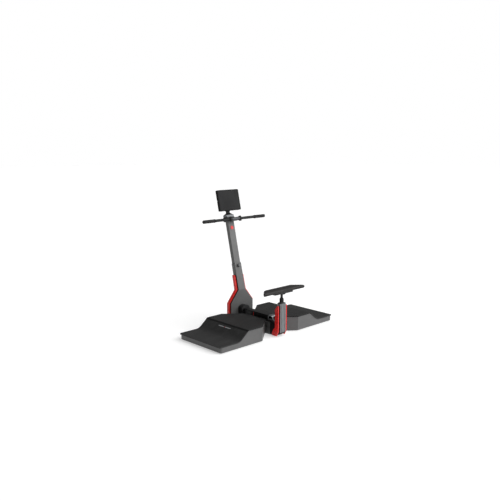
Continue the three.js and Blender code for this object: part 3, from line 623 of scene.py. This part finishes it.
@dataclass(frozen=True)
class MouldedPlastic(Finish):
    """Injection-moulded ABS with a spark-eroded grain: a soft, even sheen that dulls fingerprints."""

    colour: str
    roughness: float = 0.5
    # Real spark-eroded grain is a few tenths of a millimetre; it is drawn coarser so that it shows.
    grain_mm: float = 0.9
    specular: float = 0.35
    ior: float = 1.53
    rub_mm: float = 55.0
    rub_gain: float = 1.25
    rub_lift: float = 0.002
    edge_mm: float = 1.2
    edge_gain: float = 2.0
    grain_depth_mm: float = 0.3
    grain_strength: float = 0.18

    def paint(self, tree: Tree, shader: bpy.types.Node) -> None:
        """Paints the pebbled grain and slightly shinier rubbed patches.

        Args:
            tree: The material's node tree.
            shader: Its Principled BSDF.
        """
        place = place_of(tree)
        voronoi = {"Vector": place, "Scale": 1 / (self.grain_mm * MM)}
        pebble = add(tree, "TexVoronoi", voronoi, feature="SMOOTH_F1").outputs["Distance"]
        rub = mottle(tree, place, self.rub_mm, 4)
        base = linear(self.colour)
        pale = shaded(base, self.rub_gain, self.rub_lift)
        bevel = add(tree, "Bevel", {"Radius": self.edge_mm * MM}, samples=BEVEL_SAMPLES)
        edge = worn_edge(tree, bevel, self.edge_gain)
        rubbed = ranged(tree, rub, 0.4, 0.7, 0, 0.8)
        colour = blended(tree, math_of(tree, "MAXIMUM", edge, rubbed), base, pale)
        bump_inputs = {
            "Strength": self.grain_strength,
            "Distance": self.grain_depth_mm * MM,
            "Height": pebble,
            "Normal": bevel.outputs[0],
        }
        bump = add(tree, "Bump", bump_inputs)
        gloss = ranged(tree, rub, 0.35, 0.65, self.roughness + 0.05, self.roughness - 0.07)
        surfaced(tree, shader, colour, gloss, bump)
        shader.inputs["IOR"].default_value = self.ior
        shader.inputs["Specular IOR Level"].default_value = self.specular


@dataclass(frozen=True)
class AntiGlareGlass(Finish):
    """Etched cover glass over an unlit screen: an even dark grey with a soft, wide reflection."""

    colour: str
    roughness: float = 0.6
    specular: float = 0.16
    ior: float = 1.52
    wipe_mm: float = 70.0
    wipe_stretch: float = 0.25
    wipe_shade: float = 0.9
    # Real etching is far too fine to show; it is drawn much coarser.
    etch_mm: float = 0.8
    etch_depth_mm: float = 0.1
    etch_strength: float = 0.06

    def paint(self, tree: Tree, shader: bpy.types.Node) -> None:
        """Paints the etched surface with faint wiping marks.

        Args:
            tree: The material's node tree.
            shader: Its Principled BSDF.
        """
        place = place_of(tree)
        scale = (1.0, self.wipe_stretch, self.wipe_stretch)
        stretched = add(tree, "Mapping", {0: place, "Scale": scale}).outputs[0]
        wipe = mottle(tree, stretched, self.wipe_mm, 4)
        base = linear(self.colour)
        deep = shaded(base, self.wipe_shade)
        etch_inputs = {
            "Strength": self.etch_strength,
            "Distance": self.etch_depth_mm * MM,
            "Height": mottle(tree, place, self.etch_mm, 1),
        }
        etch = add(tree, "Bump", etch_inputs)
        colour = blended(tree, ranged(tree, wipe, 0.35, 0.65, 0, 1), base, deep)
        gloss = ranged(tree, wipe, 0.3, 0.7, self.roughness - 0.04, self.roughness + 0.05)
        surfaced(tree, shader, colour, gloss, etch)
        shader.inputs["IOR"].default_value = self.ior
        shader.inputs["Specular IOR Level"].default_value = self.specular


@dataclass(frozen=True)
class EmbossedVinyl(Finish):
    """PVC upholstery vinyl, embossed with a leather grain: creased cells with a dull shine on their tops."""

    colour: str
    # Real cells are about half this size; they are drawn coarser so that they show.
    cell_mm: float = 2.6
    crease_depth_mm: float = 0.4
    crease_strength: float = 0.45
    crease_shade: float = 0.6
    warp_patch_mm: float = 6.25
    warp_mm: float = 1.2
    wear_mm: float = 80.0
    wear_gain: float = 1.35
    specular: float = 0.3
    ior: float = 1.52

    def paint(self, tree: Tree, shader: bpy.types.Node) -> None:
        """Paints the leather cells, with painted shade in their creases, and paler where the seat wears.

        Args:
            tree: The material's node tree.
            shader: Its Principled BSDF.
        """
        place = place_of(tree)
        noise = {"Vector": place, "Scale": 1 / (self.warp_patch_mm * MM), "Detail": 2.0}
        warp = add(tree, "TexNoise", noise).outputs["Color"]
        reach = (self.warp_mm * MM,) * 3
        bent = add(tree, "VectorMath", {0: warp, 1: reach}, operation="MULTIPLY").outputs[0]
        warped = add(tree, "VectorMath", {0: place, 1: bent}, operation="ADD").outputs[0]
        voronoi = {"Vector": warped, "Scale": 1 / (self.cell_mm * MM)}
        crease = add(tree, "TexVoronoi", voronoi, feature="DISTANCE_TO_EDGE").outputs["Distance"]
        cell = ranged(tree, crease, 0.0, 0.16, 0.0, 1.0)
        wear = mottle(tree, place, self.wear_mm, 4)
        base = linear(self.colour)
        pale = shaded(base, self.wear_gain)
        # Painted shade: the creases between the cells are darkened.
        deep = shaded(base, self.crease_shade)
        skin = blended(tree, ranged(tree, wear, 0.4, 0.7, 0, 1), base, pale)
        colour = blended(tree, cell, deep, skin)
        bump_inputs = {
            "Strength": self.crease_strength,
            "Distance": self.crease_depth_mm * MM,
            "Height": cell,
        }
        bump = add(tree, "Bump", bump_inputs)
        surfaced(tree, shader, colour, ranged(tree, wear, 0.3, 0.7, 0.66, 0.54), bump)
        shader.inputs["IOR"].default_value = self.ior
        shader.inputs["Specular IOR Level"].default_value = self.specular


@dataclass(frozen=True)
class StudioFloor(Finish):
    """Seamless studio paper: near white, matt, faintly clouded."""

    colour: str = "d2d2d2"
    glow: float = 0.46
    roughness: float = 0.9
    specular: float = 0.1
    cloud_mm: float = 300.0
    cloud_shade: float = 0.985

    def paint(self, tree: Tree, shader: bpy.types.Node) -> None:
        """Paints the paper, lit through from behind so that shadows on it stay faint.

        Args:
            tree: The material's node tree.
            shader: Its Principled BSDF.
        """
        base = linear(self.colour)
        shade = shaded(base, self.cloud_shade)
        colour = blended(tree, mottle(tree, place_of(tree), self.cloud_mm, 3), base, shade)
        tree.links.new(colour, shader.inputs["Base Color"])
        shader.inputs["Roughness"].default_value = self.roughness
        shader.inputs["Specular IOR Level"].default_value = self.specular
        shader.inputs["Emission Color"].default_value = (1.0, 1.0, 1.0, 1.0)
        shader.inputs["Emission Strength"].default_value = self.glow


SKIRT_COAT = PowderCoat("powder_coat_skirt_grey", "535353", "8c8c8c")
COLUMN_COAT = PowderCoat("powder_coat_column_grey", "555555", "8e8e8e", roughness=0.4)
RED_LACQUER = PowderCoat("powder_coat_signal_red", "d81e19", "ee7268", roughness=0.4, peel_mm=1.2)
BLACK_COAT = PowderCoat("powder_coat_black", "0f0f10", "2a2a2b", roughness=0.5, specular=0.25)
DARK_RUBBER = MouldedRubber("moulded_rubber_black", "151515")
GRIP_RUBBER = MouldedRubber("moulded_rubber_grip", "141413", ring_mm=4.5)
CAST_MOTOR = CastIron("cast_iron_primer_grey", "4c4f52", "5b3a29")
BRIGHT_STEEL = BrushedMetal("machined_steel", "b9bbbd", roughness=0.28, axis=Axis.X)
SATIN_ALUMINIUM = BrushedMetal("anodised_aluminium_satin", "8c8e90", roughness=0.4, stain=0.88)
SLEEVE_ALUMINIUM = BrushedMetal("anodised_aluminium_dark", "56585a", roughness=0.5, axis=Axis.X, stain=0.8)
HEAD_ALUMINIUM = BrushedMetal("anodised_aluminium_grey", "6a6c6e", roughness=0.42, axis=Axis.X, stain=0.85)
BLACK_ABS = MouldedPlastic("moulded_abs_black", "161617", roughness=0.55)
HOUSING_ABS = MouldedPlastic("moulded_abs_housing", "070708", roughness=0.62, specular=0.15)
SCREEN_GLASS = AntiGlareGlass("etched_screen_glass", "1b1b1c")
SEAT_VINYL = EmbossedVinyl("embossed_seat_vinyl", "1d1b1a")
PIPING_VINYL = EmbossedVinyl("embossed_piping_vinyl", "121110", cell_mm=1.6)
SCREW_STEEL = BrushedMetal("black_oxide_steel", "2c2c2e", roughness=0.4, line_mm=0.8)


# ------------------------------------------------------------------------ pieces
def dress(names: Iterable[str], finish: Finish) -> None:
    """Gives CAD nodes a finish.

    Args:
        names: The nodes' names.
        finish: Their finish.
    """
    material = finish.build()
    for name in names:
        data = bpy.data.objects[name].data
        data.materials.clear()
        data.materials.append(material)
        log.info("dressed %s in %s", name, finish.name)


def both(*stems: str) -> list[str]:
    """Gives the right and left node names of paired pieces."""
    return [f"{stem}_{side}" for stem in stems for side in ("right", "left")]


def new_piece(name: str, mesh: bpy.types.Mesh, finish: Finish, body: str) -> bpy.types.Object:
    """Links a mesh as a piece that rides on a body.

    Args:
        name: The piece's name.
        mesh: Its mesh, in the shared frame.
        finish: Its finish.
        body: The CAD body it rides on.

    Returns:
        The new object.
    """
    piece = bpy.data.objects.new(name, mesh)
    bpy.context.scene.collection.objects.link(piece)
    mesh.materials.clear()
    mesh.materials.append(finish.build())
    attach(piece, body)
    log.info("made %s on %s", name, body)
    return piece


def mesh_of(name: str, shape: bmesh.types.BMesh, smooth: bool = True) -> bpy.types.Mesh:
    """Turns a bmesh into a mesh with outward faces.

    Args:
        name: The mesh's name.
        shape: The bmesh, which is freed.
        smooth: Whether the faces are shaded smooth.

    Returns:
        The mesh.
    """
    bmesh.ops.recalc_face_normals(shape, faces=shape.faces)
    for face in shape.faces:
        face.smooth = smooth
    mesh = bpy.data.meshes.new(name)
    shape.to_mesh(mesh)
    shape.free()
    return mesh


def joined_rings(shape: bmesh.types.BMesh, rings: list[list[Vector]], closed: bool) -> None:
    """Skins a row of equal rings with quads, capped at its ends unless it closes on itself.

    Args:
        shape: The bmesh that takes the faces.
        rings: Rings of points, all of one length.
        closed: Whether the last ring joins the first.
    """
    rows = [[shape.verts.new(point) for point in ring] for ring in rings]
    count = len(rows[0])
    pairs = list(zip(rows, rows[1:]))
    if closed:
        pairs.append((rows[-1], rows[0]))
    for low, high in pairs:
        for i in range(count):
            j = (i + 1) % count
            shape.faces.new((low[i], low[j], high[j], high[i]))
    if not closed:
        shape.faces.new(list(reversed(rows[0])))
        shape.faces.new(rows[-1])


@dataclass(frozen=True)
class SocketScrew:
    """Button-head screw with a hexagon socket."""

    radius: float = 5.0 * MM
    height: float = 2.8 * MM
    facets: int = 24
    # Section of the head and of the socket in it, as shares of the radius and the height.
    head: tuple[tuple[float, float], ...] = (
        (0.96, 0.0), (1.0, 0.12), (0.97, 0.38), (0.84, 0.7), (0.62, 0.92), (0.5, 1.0),
    )
    socket: tuple[tuple[float, float], ...] = ((0.42, 0.96), (0.4, 0.45))

    def hexagon(self, angle: float) -> float:
        """Gives the socket's radius at an angle, as a share of its corner radius."""
        sixth = math.pi / 3
        return math.cos(sixth / 2) / math.cos(angle % sixth - sixth / 2)

    def ring(self, share: float, height: float, shape: Callable[[float], float]) -> list[Vector]:
        """Gives one ring of the head.

        Args:
            share: Radius as a share of the head's.
            height: Height as a share of the head's.
            shape: Radius factor by angle.

        Returns:
            The ring's points.
        """
        angles = [2 * math.pi * i / self.facets for i in range(self.facets)]
        reach = [self.radius * share * shape(a) for a in angles]
        top = self.height * height
        return [Vector((r * math.cos(a), r * math.sin(a), top)) for r, a in zip(reach, angles)]

    def build(self, name: str, place: Vector, facing: Vector, body: str) -> bpy.types.Object:
        """Makes the screw standing on a face.

        Args:
            name: The piece's name.
            place: Point on the face under the head's middle.
            facing: The face's outward direction.
            body: The CAD body it rides on.

        Returns:
            The new object.
        """
        rings = [self.ring(share, height, lambda _: 1.0) for share, height in self.head]
        rings += [self.ring(share, height, self.hexagon) for share, height in self.socket]
        turn = UPWARD.rotation_difference(facing)
        shape = bmesh.new()
        joined_rings(shape, [[turn @ point + place for point in ring] for ring in rings], closed=False)
        return new_piece(name, mesh_of(name, shape), SCREW_STEEL, body)


@dataclass(frozen=True)
class TurnedRing:
    """A small ring turned on a lathe, given by its section from the inside round to the outside."""

    inner: float
    outer: float
    height: float
    facets: int = 40
    eased_share: float = 0.25

    def build(self, name: str, place: Vector, facing: Vector, finish: Finish, body: str) -> bpy.types.Object:
        """Makes the ring with eased edges.

        Args:
            name: The piece's name.
            place: Middle of the ring's underside.
            facing: The way its top faces.
            finish: Its finish.
            body: The CAD body it rides on.

        Returns:
            The new object.
        """
        ease = min(self.height, self.outer - self.inner) * self.eased_share
        section = [
            (self.inner, 0.0),
            (self.inner, self.height - ease),
            (self.inner + ease, self.height),
            (self.outer - ease, self.height),
            (self.outer, self.height - ease),
            (self.outer, 0.0),
        ]
        turn = UPWARD.rotation_difference(facing)
        rings = []
        for i in range(self.facets):
            angle = 2 * math.pi * i / self.facets
            points = [Vector((r * math.cos(angle), r * math.sin(angle), z)) for r, z in section]
            rings.append([turn @ point + place for point in points])
        shape = bmesh.new()
        joined_rings(shape, rings, closed=True)
        return new_piece(name, mesh_of(name, shape, smooth=False), finish, body)


# ------------------------------------------------------------------ sub-assemblies
@dataclass
class Platforms:
    """The two stepped platforms with their treads, decks, drives and trays."""

    def dress(self) -> None:
        """Dresses the platforms' nodes."""
        low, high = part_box("upper_mat_right")
        middle = (low.y + high.y) / 2
        striped = StripedTread("tread_rubber_ramp", "2a2a2a", "484848", middle_y=middle, strip_y=middle)
        plain = TreadRubber("tread_rubber_deck", "212121", "404040", middle_y=middle)
        dress(both("platform_skirt"), SKIRT_COAT)
        dress(both("lower_mat"), striped)
        dress(both("upper_mat"), plain)
        dress(both("vibration_deck", "eccentric_rotor"), BRIGHT_STEEL)
        dress(both("base_tray"), BLACK_COAT)
        dress(both("isolator", "floor_pad"), DARK_RUBBER)
        dress(both("vibration_motor"), CAST_MOTOR)


@dataclass
class Column:
    """The raked telescoping column with its bell cover and red sides."""

    screw: SocketScrew = SocketScrew()
    knob_ring: TurnedRing = TurnedRing(inner=9.5 * MM, outer=14 * MM, height=1.4 * MM)
    margin: float = 16 * MM
    shoulder_share: float = 0.5
    narrow_share: float = 0.36

    def dress(self) -> None:
        """Dresses the column's nodes."""
        dress(["column_cover", "column_lower_tube", "column_upper_tube"], COLUMN_COAT)
        dress([*both("column_trim"), "badge_disc"], RED_LACQUER)
        dress(both("column_gasket"), DARK_RUBBER)
        dress(["column_back_cover", "column_bush", "lock_knob"], BLACK_ABS)

    def ring_knob(self, joints: list[dict]) -> None:
        """Inlays a bright ring in the lock knob's face.

        Args:
            joints: The record's joints, whose lock axis the knob stands on.
        """
        lock = next(joint for joint in joints if joint["name"] == "lock_pull")
        outward = Vector(lock["axis"]).normalized()
        middle = Vector(lock["pos_m"])
        points = [Vector(v.co) for v in bpy.data.objects["lock_knob"].data.vertices]
        face = max((point - middle).dot(outward) for point in points)
        self.knob_ring.build("lock_knob_ring", middle + outward * face, outward, SATIN_ALUMINIUM, "lock")

    def fasten(self) -> None:
        """Screws the back cover down at its foot, its shoulders and its top."""
        low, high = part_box("column_back_cover")
        half = high.x - self.margin
        shoulder = low.z + (high.z - low.z) * self.shoulder_share
        spots = [
            (half, low.z + self.margin),
            (half, shoulder),
            (half * self.narrow_share, high.z - self.margin),
        ]
        for i, (x, z) in enumerate(spots, 1):
            for side, name in ((1, "right"), (-1, "left")):
                place = Vector((side * x, high.y, z))
                self.screw.build(f"back_cover_screw_{name}_{i}", place, REARWARD, "base")


@dataclass
class Head:
    """The column's head with the handlebar, the display and their fork and neck."""

    screw: SocketScrew = SocketScrew(radius=4 * MM, height=2.2 * MM)
    plate_pitch: float = 100 * MM
    plate_above_hinge: float = 109 * MM
    back_from_hinge: float = 19 * MM

    def dress(self) -> None:
        """Dresses the head's nodes."""
        dress(["head_bracket", "handlebar", "display_neck", *both("bar_clamp")], BLACK_COAT)
        dress(["head_cap"], HEAD_ALUMINIUM)
        dress(["bar_fork"], SLEEVE_ALUMINIUM)
        dress(both("grip"), GRIP_RUBBER)
        dress(["display_housing"], HOUSING_ABS)
        dress(["display_screen"], SCREEN_GLASS)
        dress(["display_button"], BRIGHT_STEEL)

    def fasten(self, joints: list[dict]) -> None:
        """Puts the four screws of the mounting pattern on the display's back.

        Args:
            joints: The record's joints, whose axes give the rake and the hinge.
        """
        by_name = {joint["name"]: joint for joint in joints}
        up = Vector(by_name["column_height"]["axis"]).normalized()
        back = Vector((0, up.z, -up.y))
        hinge = Vector(by_name["display_tilt"]["pos_m"])
        middle = hinge + up * self.plate_above_hinge - back * self.back_from_hinge
        half = self.plate_pitch / 2
        for i, (x, w) in enumerate([(half, half), (-half, half), (-half, -half), (half, -half)], 1):
            place = middle + Vector((x, 0, 0)) + up * w
            self.screw.build(f"display_screw_{i}", place, back, "display")


@dataclass
class Chassis:
    """The beam between the platforms, the low arm above it and the controls at the rear."""

    band_at: float = -0.022
    band_half: float = 0.006
    screw: SocketScrew = SocketScrew(radius=4 * MM, height=2.2 * MM)
    margin: float = 12 * MM

    def dress(self) -> None:
        """Dresses the beam, the arm and the controls."""
        start = self.band_at - self.band_half
        end = self.band_at + self.band_half
        banded = BandedPaint("powder_coat_black_banded", "0f0f10", "303031", band_from=start, band_to=end)
        dress(["chassis"], SKIRT_COAT)
        dress(["arm_beam"], banded)
        dress(["arm_top_cover", "post_block"], BLACK_COAT)
        dress(["arm_end_bracket"], SATIN_ALUMINIUM)
        dress(["foot_hood", "control_box", "power_inlet", "power_switch"], BLACK_ABS)

    def fasten(self) -> None:
        """Screws the control box's lid at its corners."""
        low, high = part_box("control_box")
        sides = (low.x + self.margin, high.x - self.margin)
        levels = (low.z + self.margin, high.z - self.margin)
        corners = [(x, z) for x in sides for z in levels]
        for i, (x, z) in enumerate(corners, 1):
            self.screw.build(f"control_box_screw_{i}", Vector((x, high.y, z)), REARWARD, "base")


@dataclass
class SeatPost:
    """The grooved post between its red plates, and what the seat turns on."""

    screw: SocketScrew = SocketScrew(radius=5.5 * MM, height=3 * MM)
    # Each screw's distance forward of the plate's rear edge and above its foot.
    spots: tuple[tuple[float, float], ...] = ((16 * MM, 16 * MM), (42 * MM, 16 * MM), (40 * MM, 50 * MM))

    def dress(self) -> None:
        """Dresses the post's nodes."""
        dress(["seat_post"], SATIN_ALUMINIUM)
        dress(["post_foot_cap", "post_top_cap", "seat_pin"], BLACK_ABS)
        dress(both("post_plate"), RED_LACQUER)
        dress(["seat_collar", "seat_stem"], BLACK_COAT)

    def fasten(self) -> None:
        """Screws each plate's toe to the block."""
        for side, name in ((1, "right"), (-1, "left")):
            low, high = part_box(f"post_plate_{name}")
            face = high.x if side > 0 else low.x
            for i, (forward, rise) in enumerate(self.spots, 1):
                place = Vector((face, high.y - forward, low.z + rise))
                self.screw.build(f"plate_screw_{name}_{i}", place, Vector((side, 0, 0)), "base")


@dataclass
class SeatCushion:
    """The wing-shaped seat pad: foam under vinyl, blown up by a cloth simulation, with piping round it."""

    voxel: float = 4 * MM
    start_inset: float = 0.5 * MM
    start_thickness: float = 0.88
    smoothing: int = 1
    smoothing_factor: float = 0.5
    frames: int = 20
    pressure: float = 4.0
    quality: int = 5
    held_height: float = 2.5 * MM
    most_swell: float = 5 * MM
    most_draw: float = 1.2 * MM
    seam_above_base: float = 0.36
    piping_radius: float = 2.1 * MM
    piping_points: int = 360
    piping_facets: int = 8

    def base_mesh(self) -> bpy.types.Mesh:
        """Copies the CAD pad, a little smaller, and remeshes it evenly.

        Returns:
            The copy's mesh.
        """
        low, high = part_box("seat_cushion")
        centre = (low + high) / 2
        half = (high - low) / 2
        mesh = bpy.data.objects["seat_cushion"].data.copy()
        shares = Vector((1 - self.start_inset / half.x, 1 - self.start_inset / half.y, self.start_thickness))
        for vertex in mesh.vertices:
            offset = vertex.co - centre
            vertex.co = centre + Vector((offset.x * shares.x, offset.y * shares.y, offset.z * shares.z))
        lowered = low.z - (centre.z - half.z * self.start_thickness)
        mesh.transform(Matrix.Translation((0, 0, lowered)))
        work = bpy.data.objects.new("cushion_work", mesh)
        bpy.context.scene.collection.objects.link(work)
        remesh = work.modifiers.new("even", "REMESH")
        remesh.mode = "VOXEL"
        remesh.voxel_size = self.voxel
        made = self.applied(work)
        bpy.data.objects.remove(work)
        return made

    @staticmethod
    def applied(piece: bpy.types.Object) -> bpy.types.Mesh:
        """Gives the piece's mesh with its modifiers applied."""
        graph = bpy.context.evaluated_depsgraph_get()
        return bpy.data.meshes.new_from_object(piece.evaluated_get(graph))

    def smoothed(self, mesh: bpy.types.Mesh) -> None:
        """Rounds off the steps of the copied pad.

        Args:
            mesh: The copied pad, which is changed.
        """
        shape = bmesh.new()
        shape.from_mesh(mesh)
        for _ in range(self.smoothing):
            bmesh.ops.smooth_vert(
                shape,
                verts=shape.verts,
                factor=self.smoothing_factor,
                use_axis_x=True,
                use_axis_y=True,
                use_axis_z=True,
            )
        shape.to_mesh(mesh)
        shape.free()

    def inflated(self, mesh: bpy.types.Mesh) -> bpy.types.Mesh:
        """Blows the pad up as cloth, its underside held flat where it rests on the pan.

        Args:
            mesh: The even, smoothed pad.

        Returns:
            The swollen pad's mesh.
        """
        work = bpy.data.objects.new("cushion_cloth", mesh)
        bpy.context.scene.collection.objects.link(work)
        start = [vertex.co.copy() for vertex in mesh.vertices]
        floor = min(point.z for point in start)
        held = work.vertex_groups.new(name="underside")
        resting = [i for i, point in enumerate(start) if point.z < floor + self.held_height]
        held.add(resting, 1.0, "REPLACE")
        cloth = work.modifiers.new("foam", "CLOTH")
        cloth.settings.vertex_group_mass = "underside"
        cloth.settings.use_pressure = True
        cloth.settings.uniform_pressure_force = self.pressure
        cloth.settings.effector_weights.gravity = 0
        cloth.settings.quality = self.quality
        cloth.point_cache.frame_start = 1
        cloth.point_cache.frame_end = self.frames
        scene = bpy.context.scene
        for frame in range(1, self.frames + 1):
            scene.frame_set(frame)
        made = self.applied(work)
        for vertex, origin in zip(made.vertices, start):
            rise = max(-self.most_swell, min(self.most_swell, vertex.co.z - origin.z))
            draw = Vector((vertex.co.x - origin.x, vertex.co.y - origin.y, 0))
            if draw.length > self.most_draw:
                draw = draw.normalized() * self.most_draw
            vertex.co = origin + draw + Vector((0, 0, rise))
        bpy.data.objects.remove(work)
        scene.frame_set(1)
        return made

    def refined(self, mesh: bpy.types.Mesh) -> bpy.types.Mesh:
        """Subdivides the pad once.

        Args:
            mesh: The pad.

        Returns:
            The finer pad's mesh.
        """
        work = bpy.data.objects.new("cushion_fine", mesh)
        bpy.context.scene.collection.objects.link(work)
        fine = work.modifiers.new("fine", "SUBSURF")
        fine.levels = 1
        fine.render_levels = 1
        made = self.applied(work)
        bpy.data.objects.remove(work)
        return made

    def fitted(self, mesh: bpy.types.Mesh) -> None:
        """Stretches the pad back to the full size of its space, which the swelling drew in at the tips.

        Args:
            mesh: The pad, which is changed.
        """
        low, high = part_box("seat_cushion")
        for axis in range(3):
            values = [vertex.co[axis] for vertex in mesh.vertices]
            least, most = min(values), max(values)
            stretch = (high[axis] - low[axis]) / (most - least)
            for vertex in mesh.vertices:
                vertex.co[axis] = low[axis] + (vertex.co[axis] - least) * stretch

    def seam_line(self, mesh: bpy.types.Mesh, height: float) -> list[Vector]:
        """Finds the pad's outline at one height.

        Args:
            mesh: The finished pad.
            height: The height to look at.

        Returns:
            Points round the pad.
        """
        tree = BVHTree.FromPolygons([v.co for v in mesh.vertices], [p.vertices for p in mesh.polygons])
        low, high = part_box("seat_cushion")
        middle = Vector(((low.x + high.x) / 2, (low.y + high.y) / 2, height))
        reach = (high - low).length
        aspect = (high.y - low.y) / (high.x - low.x)
        points = []
        for i in range(self.piping_points):
            angle = 2 * math.pi * i / self.piping_points
            away = Vector((math.cos(angle), math.sin(angle) * aspect, 0)).normalized()
            hit = tree.ray_cast(middle + away * reach, -away)[0]
            if hit is not None:
                points.append(hit)
        return points

    def piping(self, line: list[Vector], name: str) -> bpy.types.Object:
        """Sews a welt of piping along a line.

        Args:
            line: Points round the pad.
            name: The piece's name.

        Returns:
            The piping's object.
        """
        count = len(line)
        angles = [2 * math.pi * k / self.piping_facets for k in range(self.piping_facets)]
        rings = []
        for i, point in enumerate(line):
            ahead = (line[(i + 1) % count] - line[i - 1]).normalized()
            side = ahead.cross(UPWARD).normalized()
            top = side.cross(ahead)
            arms = [side * math.cos(angle) + top * math.sin(angle) for angle in angles]
            rings.append([point + arm * self.piping_radius for arm in arms])
        shape = bmesh.new()
        joined_rings(shape, rings, closed=True)
        return new_piece(name, mesh_of(name, shape), PIPING_VINYL, "seat")

    def build(self) -> None:
        """Makes the pad and its piping, and dresses the pan under it."""
        mesh = self.base_mesh()
        self.smoothed(mesh)
        mesh = self.inflated(mesh)
        mesh = self.refined(mesh)
        self.fitted(mesh)
        for polygon in mesh.polygons:
            polygon.use_smooth = True
        low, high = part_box("seat_cushion")
        seam_height = low.z + (high.z - low.z) * self.seam_above_base
        line = self.seam_line(mesh, seam_height)
        pad = new_piece("seat_pad", mesh, SEAT_VINYL, "seat")
        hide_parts("seat_cushion")
        self.piping(line, "seat_piping")
        dress(["seat_pan"], BLACK_ABS)


# ------------------------------------------------------------------------ studio
@dataclass(frozen=True)
class Viewpoint:
    """Where the camera stands, as an aim point and a direction."""

    aim: tuple[float, float, float] = (0.0, 0.073, 0.942)
    azimuth: float = -43.74
    elevation: float = 9.66
    distance: float = 7.157
    lens_mm: float = 43.52
    sensor_mm: float = 36.0

    def build(self) -> None:
        """Makes the camera and sets it as the scene's."""
        turn = math.radians(self.azimuth)
        rise = math.radians(self.elevation)
        back = Vector((math.sin(turn) * math.cos(rise), -math.cos(turn) * math.cos(rise), math.sin(rise)))
        camera = bpy.data.objects.new("camera", bpy.data.cameras.new("camera"))
        bpy.context.scene.collection.objects.link(camera)
        camera.data.sensor_width = self.sensor_mm
        camera.data.lens = self.lens_mm
        camera.location = Vector(self.aim) + back * self.distance
        camera.rotation_mode = "QUATERNION"
        camera.rotation_quaternion = (-back).to_track_quat("-Z", "Y")
        bpy.context.scene.camera = camera


@dataclass(frozen=True)
class SoftLight:
    """A square light panel."""

    name: str
    place: tuple[float, float, float]
    width: float
    watts: float
    aim: tuple[float, float, float] = (0.0, 0.0, 0.5)

    def build(self) -> None:
        """Hangs the panel, facing its aim."""
        data = bpy.data.lights.new(self.name, "AREA")
        data.shape = "SQUARE"
        data.size = self.width
        data.energy = self.watts
        panel = bpy.data.objects.new(self.name, data)
        bpy.context.scene.collection.objects.link(panel)
        panel.location = self.place
        panel.rotation_mode = "QUATERNION"
        panel.rotation_quaternion = (Vector(self.aim) - Vector(self.place)).to_track_quat("-Z", "Y")


@dataclass
class Studio:
    """Pale floor, a broad soft key light, a fill panel, and a surround that looks white but lights softly."""

    floor_half: float = 60.0
    floor_cells: int = 8
    key_from: tuple[float, float, float] = (0.3, -0.72, 0.62)
    key_strength: float = 3.0
    key_spread: float = 70.0
    sky_high: float = 0.5
    sky_low: float = 0.16
    sky_full_from: float = 0.9
    dim_side: float = 0.3
    dim_until: float = -0.9
    bright_from: float = 0.2
    panels: tuple[SoftLight, ...] = (SoftLight("fill_panel", (5.0, -2.5, 2.6), 2.4, 60.0),)

    def key(self) -> None:
        """Hangs the key light: as wide as an overcast window, so that its shadows stay soft."""
        data = bpy.data.lights.new("key", "SUN")
        data.energy = self.key_strength
        data.angle = math.radians(self.key_spread)
        lamp = bpy.data.objects.new("key", data)
        bpy.context.scene.collection.objects.link(lamp)
        lamp.rotation_mode = "QUATERNION"
        lamp.rotation_quaternion = (-Vector(self.key_from)).to_track_quat("-Z", "Y")

    def surround(self) -> None:
        """Makes the surround: white behind the object, and a soft sky, dim on one side, to light it."""
        world = bpy.data.worlds.new("surround")
        world.use_nodes = True
        tree = world.node_tree
        seen = add(tree, "LightPath").outputs["Is Camera Ray"]
        direction = add(tree, "TexCoord").outputs["Generated"]
        height = along(tree, direction, Axis.Z)
        side = along(tree, direction, Axis.X)
        dome = ranged(tree, height, 0.0, self.sky_full_from, self.sky_low, self.sky_high)
        shade = ranged(tree, side, self.dim_until, self.bright_from, self.dim_side, 1.0)
        sky = math_of(tree, "MULTIPLY", dome, shade)
        strength = add(tree, "Mix", {0: seen, 2: sky, 3: 1.0}, data_type="FLOAT").outputs[0]
        background = tree.nodes["Background"]
        background.inputs["Color"].default_value = (1.0, 1.0, 1.0, 1.0)
        tree.links.new(strength, background.inputs["Strength"])
        bpy.context.scene.world = world

    def build(self) -> None:
        """Makes the floor, the lights and the surround."""
        shape = bmesh.new()
        cells = self.floor_cells
        bmesh.ops.create_grid(shape, x_segments=cells, y_segments=cells, size=self.floor_half)
        floor = bpy.data.objects.new("studio_floor", mesh_of("studio_floor", shape))
        bpy.context.scene.collection.objects.link(floor)
        floor.data.materials.append(StudioFloor("studio_paper").build())
        floor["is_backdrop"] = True
        for panel in self.panels:
            panel.build()
        self.key()
        self.surround()
        bpy.context.scene.view_settings.view_transform = "Standard"


def main() -> None:
    """Builds the camera, the finishes, the soft pieces and the studio in order."""
    logging.basicConfig(level=logging.INFO, format="%(message)s")
    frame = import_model()
    low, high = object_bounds()
    cad_box = (low.copy(), high.copy())
    Viewpoint().build()
    Platforms().dress()
    column = Column()
    column.dress()
    column.fasten()
    column.ring_knob(frame["joints"])
    head = Head()
    head.dress()
    head.fasten(frame["joints"])
    chassis = Chassis()
    chassis.dress()
    chassis.fasten()
    post = SeatPost()
    post.dress()
    post.fasten()
    SeatCushion().build()
    Studio().build()


if __name__ == "__main__":
    main()
